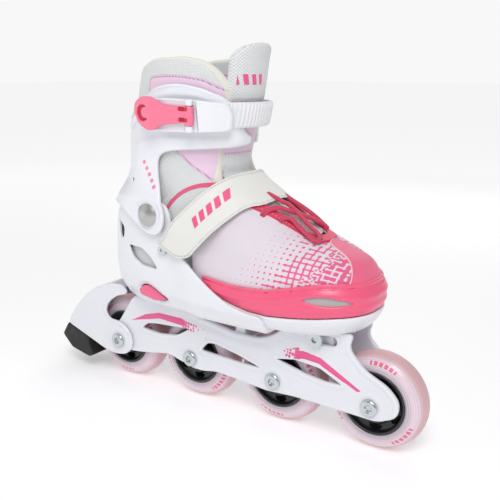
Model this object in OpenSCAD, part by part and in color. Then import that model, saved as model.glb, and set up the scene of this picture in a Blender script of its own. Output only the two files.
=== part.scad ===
// Children's adjustable in-line skate for the right foot.
// Four wheels stand in a two-rail frame under a hard heel shell. The toe half
// slides forward to fit a longer foot, the cuff leans with the shin and is
// closed by a ratchet buckle, and a rubber heel brake trails the last wheel.
// +X points to the toe, +Y to the inner side of the foot, +Z up. The origin
// is on the ground, midway between the second and third axles.

/* [Wheels] */
// Outer diameter of a wheel
wheel_d = 70; // [58:1:84]
// Width of a wheel
wheel_w = 24; // [22:0.5:28]
// Distance between neighbouring treads
wheel_gap = 6; // [4:0.5:12]
// Diameter of the black hub inside the tyre
hub_d = 45; // [40:1:50]
// Bore of the bearings, which is also the axle diameter
axle_d = 8; // [6:0.5:8.5]
// Outer diameter of a bearing
bearing_d = 22; // [20:0.5:24]
// Width of a bearing
bearing_w = 7; // [6:0.5:8]
// Diameter of a bearing ball
ball_d = 3.9; // [3:0.1:4]

/* [Frame] */
// Thickness of each side rail
rail_t = 4; // [3:0.5:5]
// Space between the hub face and the rail
rail_play = 2; // [1.5:0.5:4]
// Height of the deck above the wheels
deck_rise = 6.5; // [5:0.5:12]
// Thickness of the brake arm's cheeks
cheek_t = 2.6; // [2:0.2:4]
// Diameter of an axle screw's head
head_d = 12.5; // [10:0.5:14]
// Height of an axle screw's head
head_h = 3; // [2:0.5:4]

/* [Boot] */
// Length of the inner boot, heel to toe
boot_length = 218.5; // [180:0.5:265]
// Width of the inner boot across the ball of the foot
boot_width = 82; // [68:1:100]
// Height of the collar above the boot's base
boot_height = 180; // [150:1:220]
// Thickness of the hard plastic shells
shell_t = 3; // [2:0.2:3.4]
// Thickness of the padded liner
liner_t = 6; // [4:0.5:8]
// Width of the throat between the eyestays
throat_w = 24; // [18:1:30]
// How far the toe half slides out
toe_travel = 12; // [0:1:12]
// Clearance between shells that move on each other
slip = 0.5; // [0.3:0.1:0.7]

/* [Cuff] */
// Diameter of the pivot rivet's shank
pivot_d = 8; // [5:0.5:10]
// Diameter of the pivot rivet's domed head
pivot_head_d = 17; // [12:1:20]
// Thickness of the buckle's lever
lever_t = 3.6; // [3:0.2:5]
// Diameter of the lever's hinge pin
pin_d = 3; // [2:0.5:4]
// Thickness of the ratchet strap
ladder_t = 2.4; // [2:0.2:3]
// Distance between the ratchet strap's ribs
ladder_pitch = 4; // [3:0.5:6]

/* [Hidden] */
$fn = 48;

plastic_white = [0.90, 0.91, 0.93];
hot_pink = [0.95, 0.30, 0.50];
lilac = [0.90, 0.78, 0.86];
mesh_white = [0.88, 0.89, 0.88];
zinc = [0.75, 0.77, 0.78];
rubber_black = [0.08, 0.08, 0.09];

// Frame heights and axle places
axle_pitch = wheel_d + wheel_gap;
rear_pitch = axle_pitch - 2;
axle_z = wheel_d / 2;
AXLES = [-axle_pitch / 2 - rear_pitch, -axle_pitch / 2, axle_pitch / 2, 1.5 * axle_pitch];
rail_in = wheel_w / 2 + rail_play;
rail_out = rail_in + rail_t;
deck_z = wheel_d + deck_rise;
base_z = deck_z + 7.5;
side_play = 0.2;
cheek_in = rail_out + side_play;
cheek_out = cheek_in + cheek_t;
screw_play = 0.05;
far = 400;

// Frame outline units: rail shapes are drawn for 70 mm wheels on a 76 mm pitch
// and follow the axles, the deck and the wheels when those change.
function frame_x(x) = x < -38 ? -axle_pitch / 2 + (x + 38) * rear_pitch / 74
  : x * axle_pitch / 76;
function frame_z(z) = lookup(z, [[0, 0], [35, axle_z], [76.5, deck_z], [100, deck_z + 23.5]]);
function frame_pts(pts) = [for (p = pts) [frame_x(p[0]), frame_z(p[1])]];

// Boot outline units: x along the foot, h above the boot's base
sx = boot_length / 218.5;
sy = boot_width / 82;
sh = boot_height / 180;
function boot_pts(pts) = [for (p = pts) [p[0] * sx, base_z + p[1] * sh]];

// The foot and shin as level sections: height, back, front, half width, place
// of the greatest width, and the squareness of the back and of the front.
SECTIONS = [
  [0, -104, 99, 35, 34, 3, 2.3],
  [8, -107.5, 105, 39, 34, 3, 2.4],
  [18, -109, 108, 40.5, 34, 3, 2.5],
  [30, -110, 108, 41, 32, 2.9, 2.5],
  [40, -110.5, 103.5, 41, 28, 2.8, 2.4],
  [48, -110.5, 95, 41, 20, 2.7, 2.3],
  [55, -110, 80, 40.5, 8, 2.6, 2.2],
  [64, -108, 60, 40, -10, 2.5, 2.1],
  [74, -102, 43, 39.5, -26, 2.4, 2],
  [84, -96, 27, 39, -36, 2.3, 2],
  [95, -91.5, 9, 39, -42, 2.2, 2],
  [106, -89.5, 1.5, 39, -44, 2.2, 2],
  [121, -89.5, 4.5, 39.5, -43, 2.1, 2],
  [138, -88, 9, 40, -41, 2.1, 2],
  [160, -84, 13, 40.5, -37, 2.1, 2],
  [180, -79, 16, 40.5, -33, 2.1, 2],
  [192, -77, 19, 40.5, -31, 2.1, 2]];
function section(h, k) = lookup(h, [for (s = SECTIONS) [s[0], s[k]]]);
function signed_power(v, e) = sign(v) * pow(abs(v), e);

// How far the boot stands out sideways at place x and height h, pushed out by d
function side_reach(x, h, d) =
  let (middle = section(h, 4) * sx,
    front = x > middle,
    n = section(h, front ? 6 : 5),
    reach = (front ? section(h, 2) * sx - middle : middle - section(h, 1) * sx) + d)
  (section(h, 3) * sy + d) * pow(1 - pow(abs(x - middle) / reach, n), 1 / n);
// The same at the proudest point of a round head of radius r
function seat_reach(x, h, d, r) =
  max([for (a = [0:30:330]) side_reach(x + r * cos(a), h + r * sin(a) / sh, d)]);

// The front half of the heel shell stands proud, to let the toe half slide in.
flare_from = -36;
flare_over = 22;
function flare_at(x) = max(0, min(1, (x - flare_from) / flare_over));

// A point of the boot's surface at height h and turn t, pushed out by d
function boot_point(h, t, d, flare = 0) =
  let (
    front = cos(t) > 0,
    squareness = section(h, front ? 6 : 5),
    middle = section(h, 4),
    reach = front ? section(h, 2) - middle : middle - section(h, 1),
    x_bare = middle + reach * signed_power(cos(t), 2 / squareness),
    out = d + flare * flare_at(x_bare)
  )
  [middle * sx + (reach * sx + out) * signed_power(cos(t), 2 / squareness),
   (section(h, 3) * sy + out) * signed_power(sin(t), 2 / squareness),
   base_z + h * sh];

ring_n = 36;
function quad(a, b, c, d) = [[a, b, c], [a, c, d]];

// A closed solid through level rings, each given as height and offset.
// Going up the outside and back down the inside makes a cup.
module ring_stack(rings, flare = 0) {
  m = len(rings);
  points = [for (r = rings) for (i = [0:ring_n - 1]) boot_point(r[0], i * 360 / ring_n, r[1], flare)];
  sides = [for (k = [0:m - 2]) for (i = [0:ring_n - 1])
    each quad(k * ring_n + i, (k + 1) * ring_n + i,
      (k + 1) * ring_n + (i + 1) % ring_n, k * ring_n + (i + 1) % ring_n)];
  first_cap = [[for (i = [0:ring_n - 1]) i]];
  last_cap = [[for (i = [ring_n - 1:-1:0]) (m - 1) * ring_n + i]];
  polyhedron(points, concat(sides, first_cap, last_cap));
}

// A sleeve open at both ends, each ring given as height, inner and outer offset
module sleeve(rings, flare = 0) {
  m = len(rings);
  loop = concat([for (r = rings) [r[0], r[2]]], [for (k = [m - 1:-1:0]) [rings[k][0], rings[k][1]]]);
  count = len(loop);
  points = [for (r = loop) for (i = [0:ring_n - 1]) boot_point(r[0], i * 360 / ring_n, r[1], flare)];
  faces = [for (k = [0:count - 1]) for (i = [0:ring_n - 1])
    let (next = (k + 1) % count, j = (i + 1) % ring_n)
    each quad(k * ring_n + i, next * ring_n + i, next * ring_n + j, k * ring_n + j)];
  polyhedron(points, faces);
}

// A curved plate that lies on the boot between two turns and two heights
module plate_on_boot(t0, t1, h0, h1, d0, d1, nt = 12, nh = 2) {
  row = nt + 1;
  layer = row * (nh + 1);
  points = [for (d = [d1, d0]) for (k = [0:nh]) for (i = [0:nt])
    boot_point(h0 + (h1 - h0) * k / nh, t0 + (t1 - t0) * i / nt, d)];
  outer = [for (k = [0:nh - 1]) for (i = [0:nt - 1])
    each quad(k * row + i, (k + 1) * row + i, (k + 1) * row + i + 1, k * row + i + 1)];
  inner = [for (f = outer) [f[0] + layer, f[2] + layer, f[1] + layer]];
  ends = [for (k = [0:nh - 1]) each concat(
    quad((k + 1) * row, k * row, layer + k * row, layer + (k + 1) * row),
    quad(k * row + nt, (k + 1) * row + nt, layer + (k + 1) * row + nt, layer + k * row + nt))];
  rims = [for (i = [0:nt - 1]) each concat(
    quad(i, i + 1, layer + i + 1, layer + i),
    quad(nh * row + i, layer + nh * row + i, layer + nh * row + i + 1, nh * row + i + 1))];
  polyhedron(points, concat(outer, inner, ends, rims));
}

// A side-view outline, extruded between two sideways places
module side_plate(pts, y0, y1) {
  translate([0, y1, 0])
    rotate([90, 0, 0])
      linear_extrude(y1 - y0)
        polygon(pts);
}
module boot_cut(pts, y0 = -far, y1 = far) {
  side_plate(boot_pts(pts), y0, y1);
}
// A round bar along Y
module cross_bar(x, z, y0, y1, r) {
  translate([x, y1, z])
    rotate([90, 0, 0])
      cylinder(h = y1 - y0, r = r);
}
module both_sides() {
  children();
  mirror([0, 1, 0])
    children();
}

// ---------------------------------------------------------------- frame
slide_x = 72.5;
slide_z = deck_z - 1.2;
slide_d = 6;
rail_top_front = deck_z + 7;
pillar_x = frame_x(7);
heel_screw_x = frame_x(-72);
frame_screw_d = 5;
RAIL = [[-121.5, 25.4], [-126.5, 33], [-122, 44], [-113.5, 51.2], [-96.5, 76.5],
  [-37, 76.5], [-33, 71.5], [-9, 67.5], [4, 65.1], [25.5, 65.5], [36, 69.5], [45, 76.5],
  [60, 83.5], [100.4, 83.5], [96.7, 73], [109, 60], [125.8, 52.3], [134.6, 43.2],
  [133.5, 32], [119.8, 25.5], [77, 26.8], [55, 27], [32, 25.6], [9, 27.7], [-13, 29.4],
  [-28.7, 26.4], [-51.6, 30.8], [-59, 33.5], [-91, 28]];
RAIL_WINDOWS = [
  [[39.7, 52.6], [56, 55.6], [75.6, 53.8], [93, 45.4], [80, 44.6], [64, 46.6]],
  [[-28, 43.8], [-22, 51], [-14, 52], [8, 47.5], [27, 42], [10, 42]],
  [[-88.6, 49.9], [-82, 55], [-73, 56.5], [-39.6, 58.6], [-52, 51], [-69.5, 48.5]]];

module rail_side() {
  difference() {
    union() {
      side_plate(frame_pts(RAIL), -rail_out, -rail_in);
      for (x = AXLES)
        cross_bar(x, axle_z, -rail_in - 1, -wheel_w / 2 - 0.1, axle_d / 2 + 2);
    }
    for (w = RAIL_WINDOWS)
      side_plate(frame_pts(w), -rail_out - 1, -rail_in + 1);
    for (x = AXLES)
      cross_bar(x, axle_z, -rail_out - 1, -wheel_w / 2 + 1, axle_d / 2 + screw_play);
    cross_bar(slide_x, slide_z, -rail_out - 1, -rail_in + 1, slide_d / 2 + 0.3);
    cross_bar(slide_x + toe_travel, slide_z, -rail_out - 1, -rail_in + 1, slide_d / 2 + 0.3);
    translate([slide_x, -rail_out - 1, slide_z - slide_d / 2 - 0.3])
      cube([toe_travel, rail_t + 2, slide_d + 0.6]);
  }
}

module chassis() {
  color(plastic_white)
    difference() {
      union() {
        both_sides()
          rail_side();
        translate([frame_x(-96), -rail_in - 0.5, deck_z - 4])
          cube([frame_x(-40) - frame_x(-96), 2 * rail_in + 1, 4]);
        translate([pillar_x - 4.5, -rail_in - 0.5, frame_z(60)])
          cube([9, 2 * rail_in + 1, deck_z - frame_z(60)]);
        translate([frame_x(70), -rail_in - 0.5, frame_z(62)])
          cube([12, 2 * rail_in + 1, 5]);
      }
      for (x = [heel_screw_x, pillar_x])
        translate([x, 0, frame_z(62)])
          cylinder(h = far, r = frame_screw_d / 2 + screw_play);
    }
}

module axle_screw(x, reach) {
  cross_bar(x, axle_z, -reach, rail_out + 2, axle_d / 2);
  difference() {
    translate([x, -reach, axle_z])
      rotate([90, 0, 0])
        union() {
          cylinder(h = head_h - 1, r = head_d / 2);
          translate([0, 0, head_h - 1])
            cylinder(h = 1, r1 = head_d / 2, r2 = head_d / 2 - 1.2);
        }
    cross_bar(x, axle_z, -reach - head_h - 1, -reach - 1, 2.2);
  }
}
module axle_screws() {
  color(zinc)
    for (i = [0:3])
      axle_screw(AXLES[i], i == 0 ? cheek_out : rail_out);
}
module axle_nuts() {
  color(zinc)
    for (i = [0:3])
      difference() {
        cross_bar(AXLES[i], axle_z, i == 0 ? cheek_out : rail_out,
          (i == 0 ? cheek_out : rail_out) + head_h, head_d / 2);
        cross_bar(AXLES[i], axle_z, rail_out - 1, rail_out + 2.5, axle_d / 2 + screw_play);
        if (i == 0)
          cross_bar(AXLES[i], axle_z, rail_out - 1, cheek_out + 1, axle_d / 2 + screw_play);
      }
}

// ---------------------------------------------------------------- wheels
tread_r = wheel_d / 2;
bearing_face = wheel_w / 2;
ball_path_r = (axle_d + bearing_d) / 4;
race_r = ball_d / 2 + 0.1;
module along_axle(x) {
  translate([x, 0, axle_z])
    rotate([90, 0, 0])
      children();
}
module tyre(i) {
  nose = tread_r - hub_d / 2 - 1;
  color(lilac)
    along_axle(AXLES[i])
      rotate_extrude($fn = 96)
        polygon(concat([[hub_d / 2, -wheel_w / 2]],
          [for (a = [-90:10:90]) [hub_d / 2 + 1 + nose * cos(a), wheel_w / 2 * sin(a)]],
          [[hub_d / 2, wheel_w / 2]]));
}
module hub(i) {
  spokes = 6;
  rim_t = 2.5;
  boss_t = 2.2;
  window_r = ((hub_d - bearing_d) / 2 - rim_t - boss_t) / 2 - 0.2;
  window_path = (hub_d / 2 - rim_t + bearing_d / 2 + boss_t) / 2;
  color(rubber_black)
    along_axle(AXLES[i])
      difference() {
        cylinder(h = wheel_w, r = hub_d / 2 - 0.02, center = true);
        cylinder(h = wheel_w + 2, r = bearing_d / 2 - 1.5, center = true);
        for (s = [-1, 1])
          translate([0, 0, s * (wheel_w / 2 - bearing_w / 2 + 0.5)])
            cylinder(h = bearing_w + 1, r = bearing_d / 2 + 0.02, center = true);
        for (k = [0:spokes - 1])
          rotate([0, 0, k * 360 / spokes + 15])
            translate([window_path, 0, 0])
              cylinder(h = wheel_w + 2, r = window_r, center = true);
      }
}
module bearing_places() {
  for (s = [-1, 1])
    translate([0, 0, s * (bearing_face - bearing_w / 2)])
      children();
}
module outer_rings(i) {
  color(zinc)
    along_axle(AXLES[i])
      bearing_places()
        rotate_extrude($fn = 64)
          difference() {
            translate([ball_path_r + 1.3, -bearing_w / 2])
              square([bearing_d / 2 - ball_path_r - 1.3, bearing_w]);
            translate([ball_path_r, 0])
              circle(r = race_r);
          }
}
module balls(i) {
  ball_count = 7;
  color("silver")
    along_axle(AXLES[i])
      bearing_places()
        for (k = [0:ball_count - 1])
          rotate([0, 0, k * 360 / ball_count])
            translate([ball_path_r, 0, 0])
              sphere(d = ball_d);
}
module bearing_inner_rings() {
  color(zinc)
    for (x = AXLES)
      along_axle(x)
        bearing_places()
          rotate_extrude($fn = 64)
            difference() {
              translate([axle_d / 2 + screw_play, -bearing_w / 2])
                square([ball_path_r - 1.3 - axle_d / 2 - screw_play, bearing_w]);
              translate([ball_path_r, 0])
                circle(r = race_r);
            }
}
module bearing_spacers() {
  color("silver")
    for (x = AXLES)
      along_axle(x)
        difference() {
          cylinder(h = wheel_w - 2 * bearing_w - 0.1, r = axle_d / 2 + 1.6, center = true);
          cylinder(h = wheel_w, r = axle_d / 2 + screw_play, center = true);
        }
}

// ---------------------------------------------------------------- brake
ARM = [[-105, 84.5], [-121, 83.5], [-137, 77], [-152, 66], [-164, 53], [-173, 38.7],
  [-127, 22.8], [-117, 21.5], [-105, 23.5], [-98, 30], [-97.5, 40], [-103, 47.5],
  [-112, 52], [-122, 52], [-126.5, 58], [-123, 66], [-113, 73.5], [-100, 77.5]];
PAD = [[-173.4, 38.4], [-181, 26.4], [-170, 15.5], [-149.2, 11.1], [-127.6, 22.7]];
pad_screw_x = frame_x(-161);
wheel_room = 2.5;
module brake_arm() {
  color(plastic_white)
    difference() {
      union() {
        both_sides()
          side_plate(frame_pts(ARM), -cheek_out, -cheek_in);
        intersection() {
          side_plate(frame_pts(ARM), -cheek_in - 0.5, cheek_in + 0.5);
          difference() {
            translate([frame_x(-180), -cheek_out, 0])
              cube([frame_x(-128) - frame_x(-180), 2 * cheek_out, far]);
            cross_bar(AXLES[0], axle_z, -far, far, tread_r + wheel_room);
            cross_bar(frame_x(-128), frame_z(50), -far, far, frame_x(-128) - frame_x(-149));
          }
        }
      }
      cross_bar(AXLES[0], axle_z, -far, far, axle_d / 2 + screw_play);
      translate([pad_screw_x, 0, 0])
        cylinder(h = far, r = 2.5 + screw_play);
    }
}
module brake_pad() {
  color(rubber_black)
    difference() {
      side_plate(frame_pts(PAD), -cheek_out + 0.4, cheek_out - 0.4);
      cross_bar(AXLES[0], axle_z, -far, far, tread_r + wheel_room);
      translate([pad_screw_x, 0, 0])
        cylinder(h = far, r = 2.5 + screw_play);
      translate([pad_screw_x, 0, 0])
        cylinder(h = frame_z(18.5), r = 5.2);
    }
}
module brake_pad_screw() {
  color(zinc)
    translate([pad_screw_x, 0, frame_z(18.5) - 3])
      difference() {
        union() {
          cylinder(h = 3, r = 4.8);
          cylinder(h = frame_z(46) - frame_z(18.5), r = 2.5);
        }
        translate([0, 0, -1])
          cylinder(h = 2.8, r = 1.6);
      }
}

// ---------------------------------------------------------------- heel
shell_out = slip + 0.3 + shell_t;
toe_out = 0.4 + shell_t - 0.2;
flare = toe_out + slip - 0.8;
floor_h = 11;
HEEL = [[-130, 12], [-130, 78], [-60, 78.5], [-41, 78], [-36, 72], [-33, 58], [-27, 47],
  [-22, 41], [-8, 29], [6, 19.5], [18, 13], [32, 9.5], [44, 9], [44, -8],
  [-86, -8], [-92, -3.5], [-101, 3], [-112, 9]];
HEEL_FLOOR = [[-130, 10.8], [-130, 8], [-112, 8], [-101, 3], [-92, -3.5], [-86, -8], [-82, -8],
  [-82, -5], [-90, 0.5], [-100, 7], [-110, 10.8]];
SLIT = [[-100, 58.5], [-97.5, 43.5], [-91, 44.5], [-88.5, 52]];
LEAF = [[-84, 40.5], [-78, 32], [-67, 27.5], [-49, 27], [-56, 35], [-66, 40.5]];
BUTTON = [[-70, 3.5], [-71.5, 7.5], [-67, 11], [-61, 12], [-54, 9.5], [-44, 3.5], [-55, 0.8]];
BUTTON_HOLE = [[-70.6, 3], [-72.3, 7.7], [-67.3, 11.7], [-60.8, 12.7], [-53.5, 10.1], [-42.6, 3],
  [-55.2, 0.1]];
pivot_x = -52 * sx;
pivot_h = 69;
pivot_z = base_z + pivot_h * sh;
head_lift = 0.15;
strap_screw_h = 43.5;
strap_screw = [-41.8 * sx, base_z + strap_screw_h * sh];
strap_screw_d = 4;
SHELL_H = [8, 18, 30, 48, 64, 80];
module heel_shell() {
  inner = slip + 0.3;
  color(plastic_white)
    difference() {
      union() {
        intersection() {
          ring_stack(concat([[-7.2, -7], [-5.4, -1.5], [-1, shell_out - 0.7]],
            [for (h = SHELL_H) [h, shell_out]],
            [for (k = [len(SHELL_H) - 1:-1:0]) [SHELL_H[k], inner]],
            [[-0.5, inner - 0.4], [-4, inner - 2]]), flare);
          boot_cut(HEEL);
        }
        intersection() {
          ring_stack([[-7.2, -7], [-5.4, -1.5], [-1, shell_out - 1], [8, shell_out - 0.3], [11, shell_out - 0.3]]);
          boot_cut(HEEL_FLOOR);
        }
        translate([spring_x - 6, -spring_seat_y, base_z - 5 * sh])
          cube([12, 3, 15 * sh]);
      }
      boot_cut(SLIT, -far, 0);
      boot_cut(LEAF, -far, 0);
      boot_cut(BUTTON_HOLE, -far, 0);
      cross_bar(pivot_x, pivot_z, -far, far, pivot_d / 2 + 0.1);
      cross_bar(strap_screw[0], strap_screw[1], -far, far, strap_screw_d / 2 + screw_play);
      for (x = [heel_screw_x, pillar_x])
        translate([x, 0, 0])
          cylinder(h = base_z + 5, r = frame_screw_d / 2 + screw_play);
    }
}
screw_head_z = base_z - 3.9 * sh;
module frame_screws() {
  color(zinc)
    for (x = [heel_screw_x, pillar_x])
      translate([x, 0, deck_z - 10])
        difference() {
          union() {
            cylinder(h = screw_head_z - deck_z + 11, r = frame_screw_d / 2);
            translate([0, 0, screw_head_z - deck_z + 10])
              cylinder(h = 2.4, r = 4.6);
          }
          translate([0, 0, screw_head_z - deck_z + 11.2])
            cylinder(h = 3, r = 1.6);
        }
}
spring_z = base_z + 6.5 * sh;
spring_x = -60 * sx;
spring_seat_y = 14;
button_out = side_reach(spring_x, 6.5, shell_out) + 1.4;
button_in = button_out - 9;
module size_button() {
  color(hot_pink)
    union() {
      boot_cut(BUTTON, -button_out, -button_in);
      cross_bar(spring_x, spring_z, -button_in, -button_in + 7, 1.6);
    }
}
spring_turns = 5;
module button_spring() {
  wire_r = 0.45;
  coil_r = 2.9;
  steps = 14;
  sides = 6;
  spring_l = button_in - spring_seat_y;
  count = spring_turns * steps;
  ring = [for (k = [0:count]) for (s = [0:sides - 1])
    let (a = k * 360 / steps, b = s * 360 / sides, r = coil_r + wire_r * cos(b))
    [spring_x + r * cos(a), -button_in + 0.6 + (spring_l - 1.2) * k / count + wire_r * sin(b),
     spring_z + r * sin(a)]];
  faces = [for (k = [0:count - 1]) for (s = [0:sides - 1])
    each quad(k * sides + s, k * sides + (s + 1) % sides,
      (k + 1) * sides + (s + 1) % sides, (k + 1) * sides + s)];
  color("silver")
    polyhedron(ring, concat(faces, [[for (s = [sides - 1:-1:0]) s]],
      [[for (s = [0:sides - 1]) count * sides + s]]));
}

// ---------------------------------------------------------------- soft boot
toe_skin = 2.4;
UPPER_H = [18, 30, 40, 48, 55, 64, 74, 84, 95];
module liner_foot() {
  color(mesh_white)
    difference() {
      union() {
        intersection() {
          ring_stack([[floor_h, -3], [18, 0], [30, 0], [48, 0], [64, 0], [74, 0], [84, 0], [95, 0],
            [95, -liner_t], [74, -liner_t], [48, -liner_t], [18, -liner_t], [floor_h + 4, -liner_t - 2]]);
          boot_cut([[-130, 8], [-130, 82], [-54, 73.5], [-17, 80], [-17, 8]]);
        }
        intersection() {
          ring_stack(concat([[floor_h, -7]], [for (h = UPPER_H) [h, -toe_skin - 0.9]],
            [[95, -liner_t - 1.6], [74, -liner_t - 1.6], [48, -liner_t - 1.6], [18, -liner_t - 1.6],
            [floor_h + 4, -liner_t - 3]]));
          boot_cut([[-17.5, 8], [-17.5, 80], [-6, 82.5], [30, 84], [130, 60], [130, 8]]);
        }
      }
      boot_cut([[-6, 42], [-6, 120], [75, 120], [75, 42]], -throat_w / 2 - 8, throat_w / 2 + 8);
      boot_cut(BUTTON_HOLE, -far, -button_in + 5);
    }
}
module insole() {
  color([0.85, 0.6, 0.7])
    ring_stack([[floor_h + 4.3, -liner_t - 4], [floor_h + 8, -liner_t - 3.5]]);
}
module tongue_instep() {
  color(mesh_white)
    intersection() {
      sleeve([[40, -6, -3.3], [48, -6, -3.3], [55, -6, -3.3], [64, -6, -3.3], [74, -6, -3.3],
        [84, -6, -3.3], [95, -6, -3.3], [100, -6, -3.3]]);
      boot_cut([[10, 72], [10, 95], [40, 95], [73, 70], [73, 45], [70, 45]],
        -throat_w / 2 - 7, throat_w / 2 + 7);
    }
}
STRAP = [[-46, 49.5], [-26, 40.5], [-14, 42], [24, 80.5], [36, 81], [36, 100], [3, 104],
  [-3, 95], [-31, 66], [-38, 53]];
module instep_strap() {
  rise = [[38, 0], [60, 0], [70, -2], [82, -4.5], [104, -4.8]];
  color([0.89, 0.89, 0.87])
    intersection() {
      sleeve([for (h = [38, 48, 56, 64, 70, 76, 82, 88, 94, 104])
        [h, shell_out + flare + 0.5 + lookup(h, rise), shell_out + flare + 2.5 + lookup(h, rise)]]);
      boot_cut(STRAP);
    }
}
module strap_screws() {
  head_r = 3.6;
  seat = seat_reach(strap_screw[0], strap_screw_h, shell_out, head_r) + head_lift;
  tip = side_reach(strap_screw[0], strap_screw_h, slip + 0.6);
  color(zinc)
    both_sides()
      difference() {
        union() {
          cross_bar(strap_screw[0], strap_screw[1], -seat, -tip, strap_screw_d / 2);
          cross_bar(strap_screw[0], strap_screw[1], -seat - 1.8, -seat, head_r);
        }
        cross_bar(strap_screw[0], strap_screw[1], -seat - 3, -seat - 0.8, 1.3);
      }
}

// ---------------------------------------------------------------- toe half
keel_play = 0.3;
channel_w = 2 * rail_out + 2;
BUMPER = [[-8, 22], [6, 16.5], [19, 12.6], [32, 10], [46, 9.4], [71, 11.5], [92, 13.7],
  [130, 16], [130, 36], [104, 36.5], [86, 37], [64, 32.5], [44, 28], [18, 27], [-8, 30]];
VENT = [[71, 25], [80, 28], [88, 28.3], [96, 26.5], [104, 23.5], [92, 21.8], [80, 22.4]];
module toe_sole() {
  color(plastic_white)
    union() {
      difference() {
        intersection() {
          ring_stack([[-6.6, -5], [-4.5, -0.5], [0, toe_out - 0.5], [4, toe_out],
            [18, toe_out], [18, 0.4], [8, 0.4], [7, -0.4], [3.4, -3.5]]);
          boot_cut([[-8, -3.4], [-8, 21.6], [6, 16.1], [19, 12.2], [32, 9.6], [46, 9], [71, 11.1],
            [92, 13.3], [130, 15.6], [130, -8], [47.5, -8], [46, -3.4]]);
        }
        translate([-far, -channel_w / 2, 0])
          cube([2 * far, channel_w, rail_top_front + keel_play]);
        cross_bar(slide_x, slide_z, -far, far, head_d / 2 + 0.8);
      }
      difference() {
        translate([slide_x - 11, -rail_in + keel_play, slide_z - 5])
          cube([22, 2 * (rail_in - keel_play), rail_top_front + 2 - slide_z + 5]);
        cross_bar(slide_x, slide_z, -far, far, slide_d / 2 + screw_play);
      }
    }
}
module toe_slide_bolt() {
  color(zinc)
    difference() {
      union() {
        cross_bar(slide_x, slide_z, -rail_out - 0.3, rail_out + 2.5, slide_d / 2);
        cross_bar(slide_x, slide_z, -rail_out - 0.2 - head_h, -rail_out - 0.2, head_d / 2 - 0.4);
      }
      cross_bar(slide_x, slide_z, -rail_out - head_h - 1, -rail_out - 1.4, 2.2);
    }
}
module toe_slide_nut() {
  color(zinc)
    difference() {
      cross_bar(slide_x, slide_z, rail_out + 0.2, rail_out + 3.6, 5.4);
      cross_bar(slide_x, slide_z, rail_out - 1, rail_out + 2.7, slide_d / 2 + screw_play);
    }
}
module bumper() {
  color(hot_pink)
    difference() {
      intersection() {
        sleeve([[8, 0.4, toe_out], [14, 0.4, toe_out + 0.1], [20, 0.4, toe_out], [30, 0.4, toe_out],
          [38, 0.4, toe_out - 0.4]]);
        boot_cut(BUMPER);
      }
      boot_cut(VENT);
    }
}
module vent_mesh() {
  color([0.73, 0.72, 0.71])
    intersection() {
      sleeve([[20, 0.6, 1.8], [30, 0.6, 1.8]]);
      boot_cut([[71.8, 25], [80, 27.6], [88, 27.9], [95.5, 26.2], [102.5, 23.6], [92, 22.2], [80, 22.8]]);
    }
}
VAMP = [[-13, 4.5], [-16, 44], [-5, 62], [12, 84], [22, 95], [40, 92], [72, 66], [130, 58], [130, 4.5]];
module vamp() {
  color([0.92, 0.85, 0.90])
    difference() {
      intersection() {
        ring_stack(concat([[4, -5], [8, -1]], [for (h = UPPER_H) [h, 0]],
          [for (k = [len(UPPER_H) - 1:-1:0]) [UPPER_H[k], -toe_skin]],
          [[8, -toe_skin - 1], [6, -toe_skin - 5]]));
        boot_cut(VAMP);
      }
      boot_cut([[-20, 50], [-20, 120], [66, 120], [66, 50]], -throat_w / 2, throat_w / 2);
    }
}
module toe_cap() {
  color([0.93, 0.40, 0.56])
    intersection() {
      ring_stack([[36, 1.1], [40, 1.1], [48, 1.1], [55, 1.1], [60, 1.1],
        [60, 0.1], [55, 0.1], [48, 0.1], [40, 0.1], [36, 0.1]]);
      boot_cut([[71, 64], [80, 57.5], [90, 51], [96, 45], [98, 38.5], [130, 38.5], [130, 64]]);
    }
}
module eyestay() {
  color([0.91, 0.2, 0.4])
    difference() {
      intersection() {
        sleeve([for (h = [52, 60, 68, 76, 84, 92]) [h, 0.15, 1.5]]);
        boot_cut([[16, 81], [14, 95], [40, 95], [69, 66], [69, 57], [58, 62], [38, 71]]);
      }
      boot_cut([[-20, 50], [-20, 120], [66, 120], [66, 50]], -throat_w / 2, throat_w / 2);
    }
}
// The lace zigzags over the tongue between the two eyestays. Its points are
// named by height, side and how far they stand off the boot.
LACE = [[59, 14, 5.8], [60.5, 7, 5.6], [62, 0, 5.6], [63.5, -7, 5], [65, -14, 5.8],
  [66.3, -15.8, 6], [67.6, -14, 5.8], [69, -7, 5], [70.4, 0, 5], [71.8, 7, 5],
  [73.2, 14, 5.8], [74.4, 15.8, 6], [75.6, 14, 5.8], [76.4, 7, 5], [77, 0, 5]];
lace_d = 3;
function lace_at(p) =
  let (h = p[0], y = p[1] * throat_w / 24, middle = section(h, 4) * sx, n = section(h, 6))
  [middle + (section(h, 2) * sx - middle + p[2]) * pow(1 - pow(abs(y) / (section(h, 3) * sy + p[2]), n), 1 / n),
   y, base_z + h * sh];
module laces() {
  sides = 8;
  path = [for (p = LACE) lace_at(p)];
  count = len(path);
  function direction(k) = let (v = path[min(k + 1, count - 1)] - path[max(k - 1, 0)]) v / norm(v);
  points = [for (k = [0:count - 1]) for (s = [0:sides - 1])
    let (d = direction(k), u0 = cross(d, [0.55, 0, 0.83]), u = u0 / norm(u0), w = cross(d, u), a = s * 360 / sides)
    path[k] + lace_d / 2 * (cos(a) * u + sin(a) * w)];
  faces = [for (k = [0:count - 2]) for (s = [0:sides - 1])
    each quad(k * sides + s, (k + 1) * sides + s, (k + 1) * sides + (s + 1) % sides,
      k * sides + (s + 1) % sides)];
  color([0.88, 0.2, 0.38])
    polyhedron(points, concat(faces, [[for (s = [0:sides - 1]) s]],
      [[for (s = [sides - 1:-1:0]) (count - 1) * sides + s]]));
}

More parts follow.
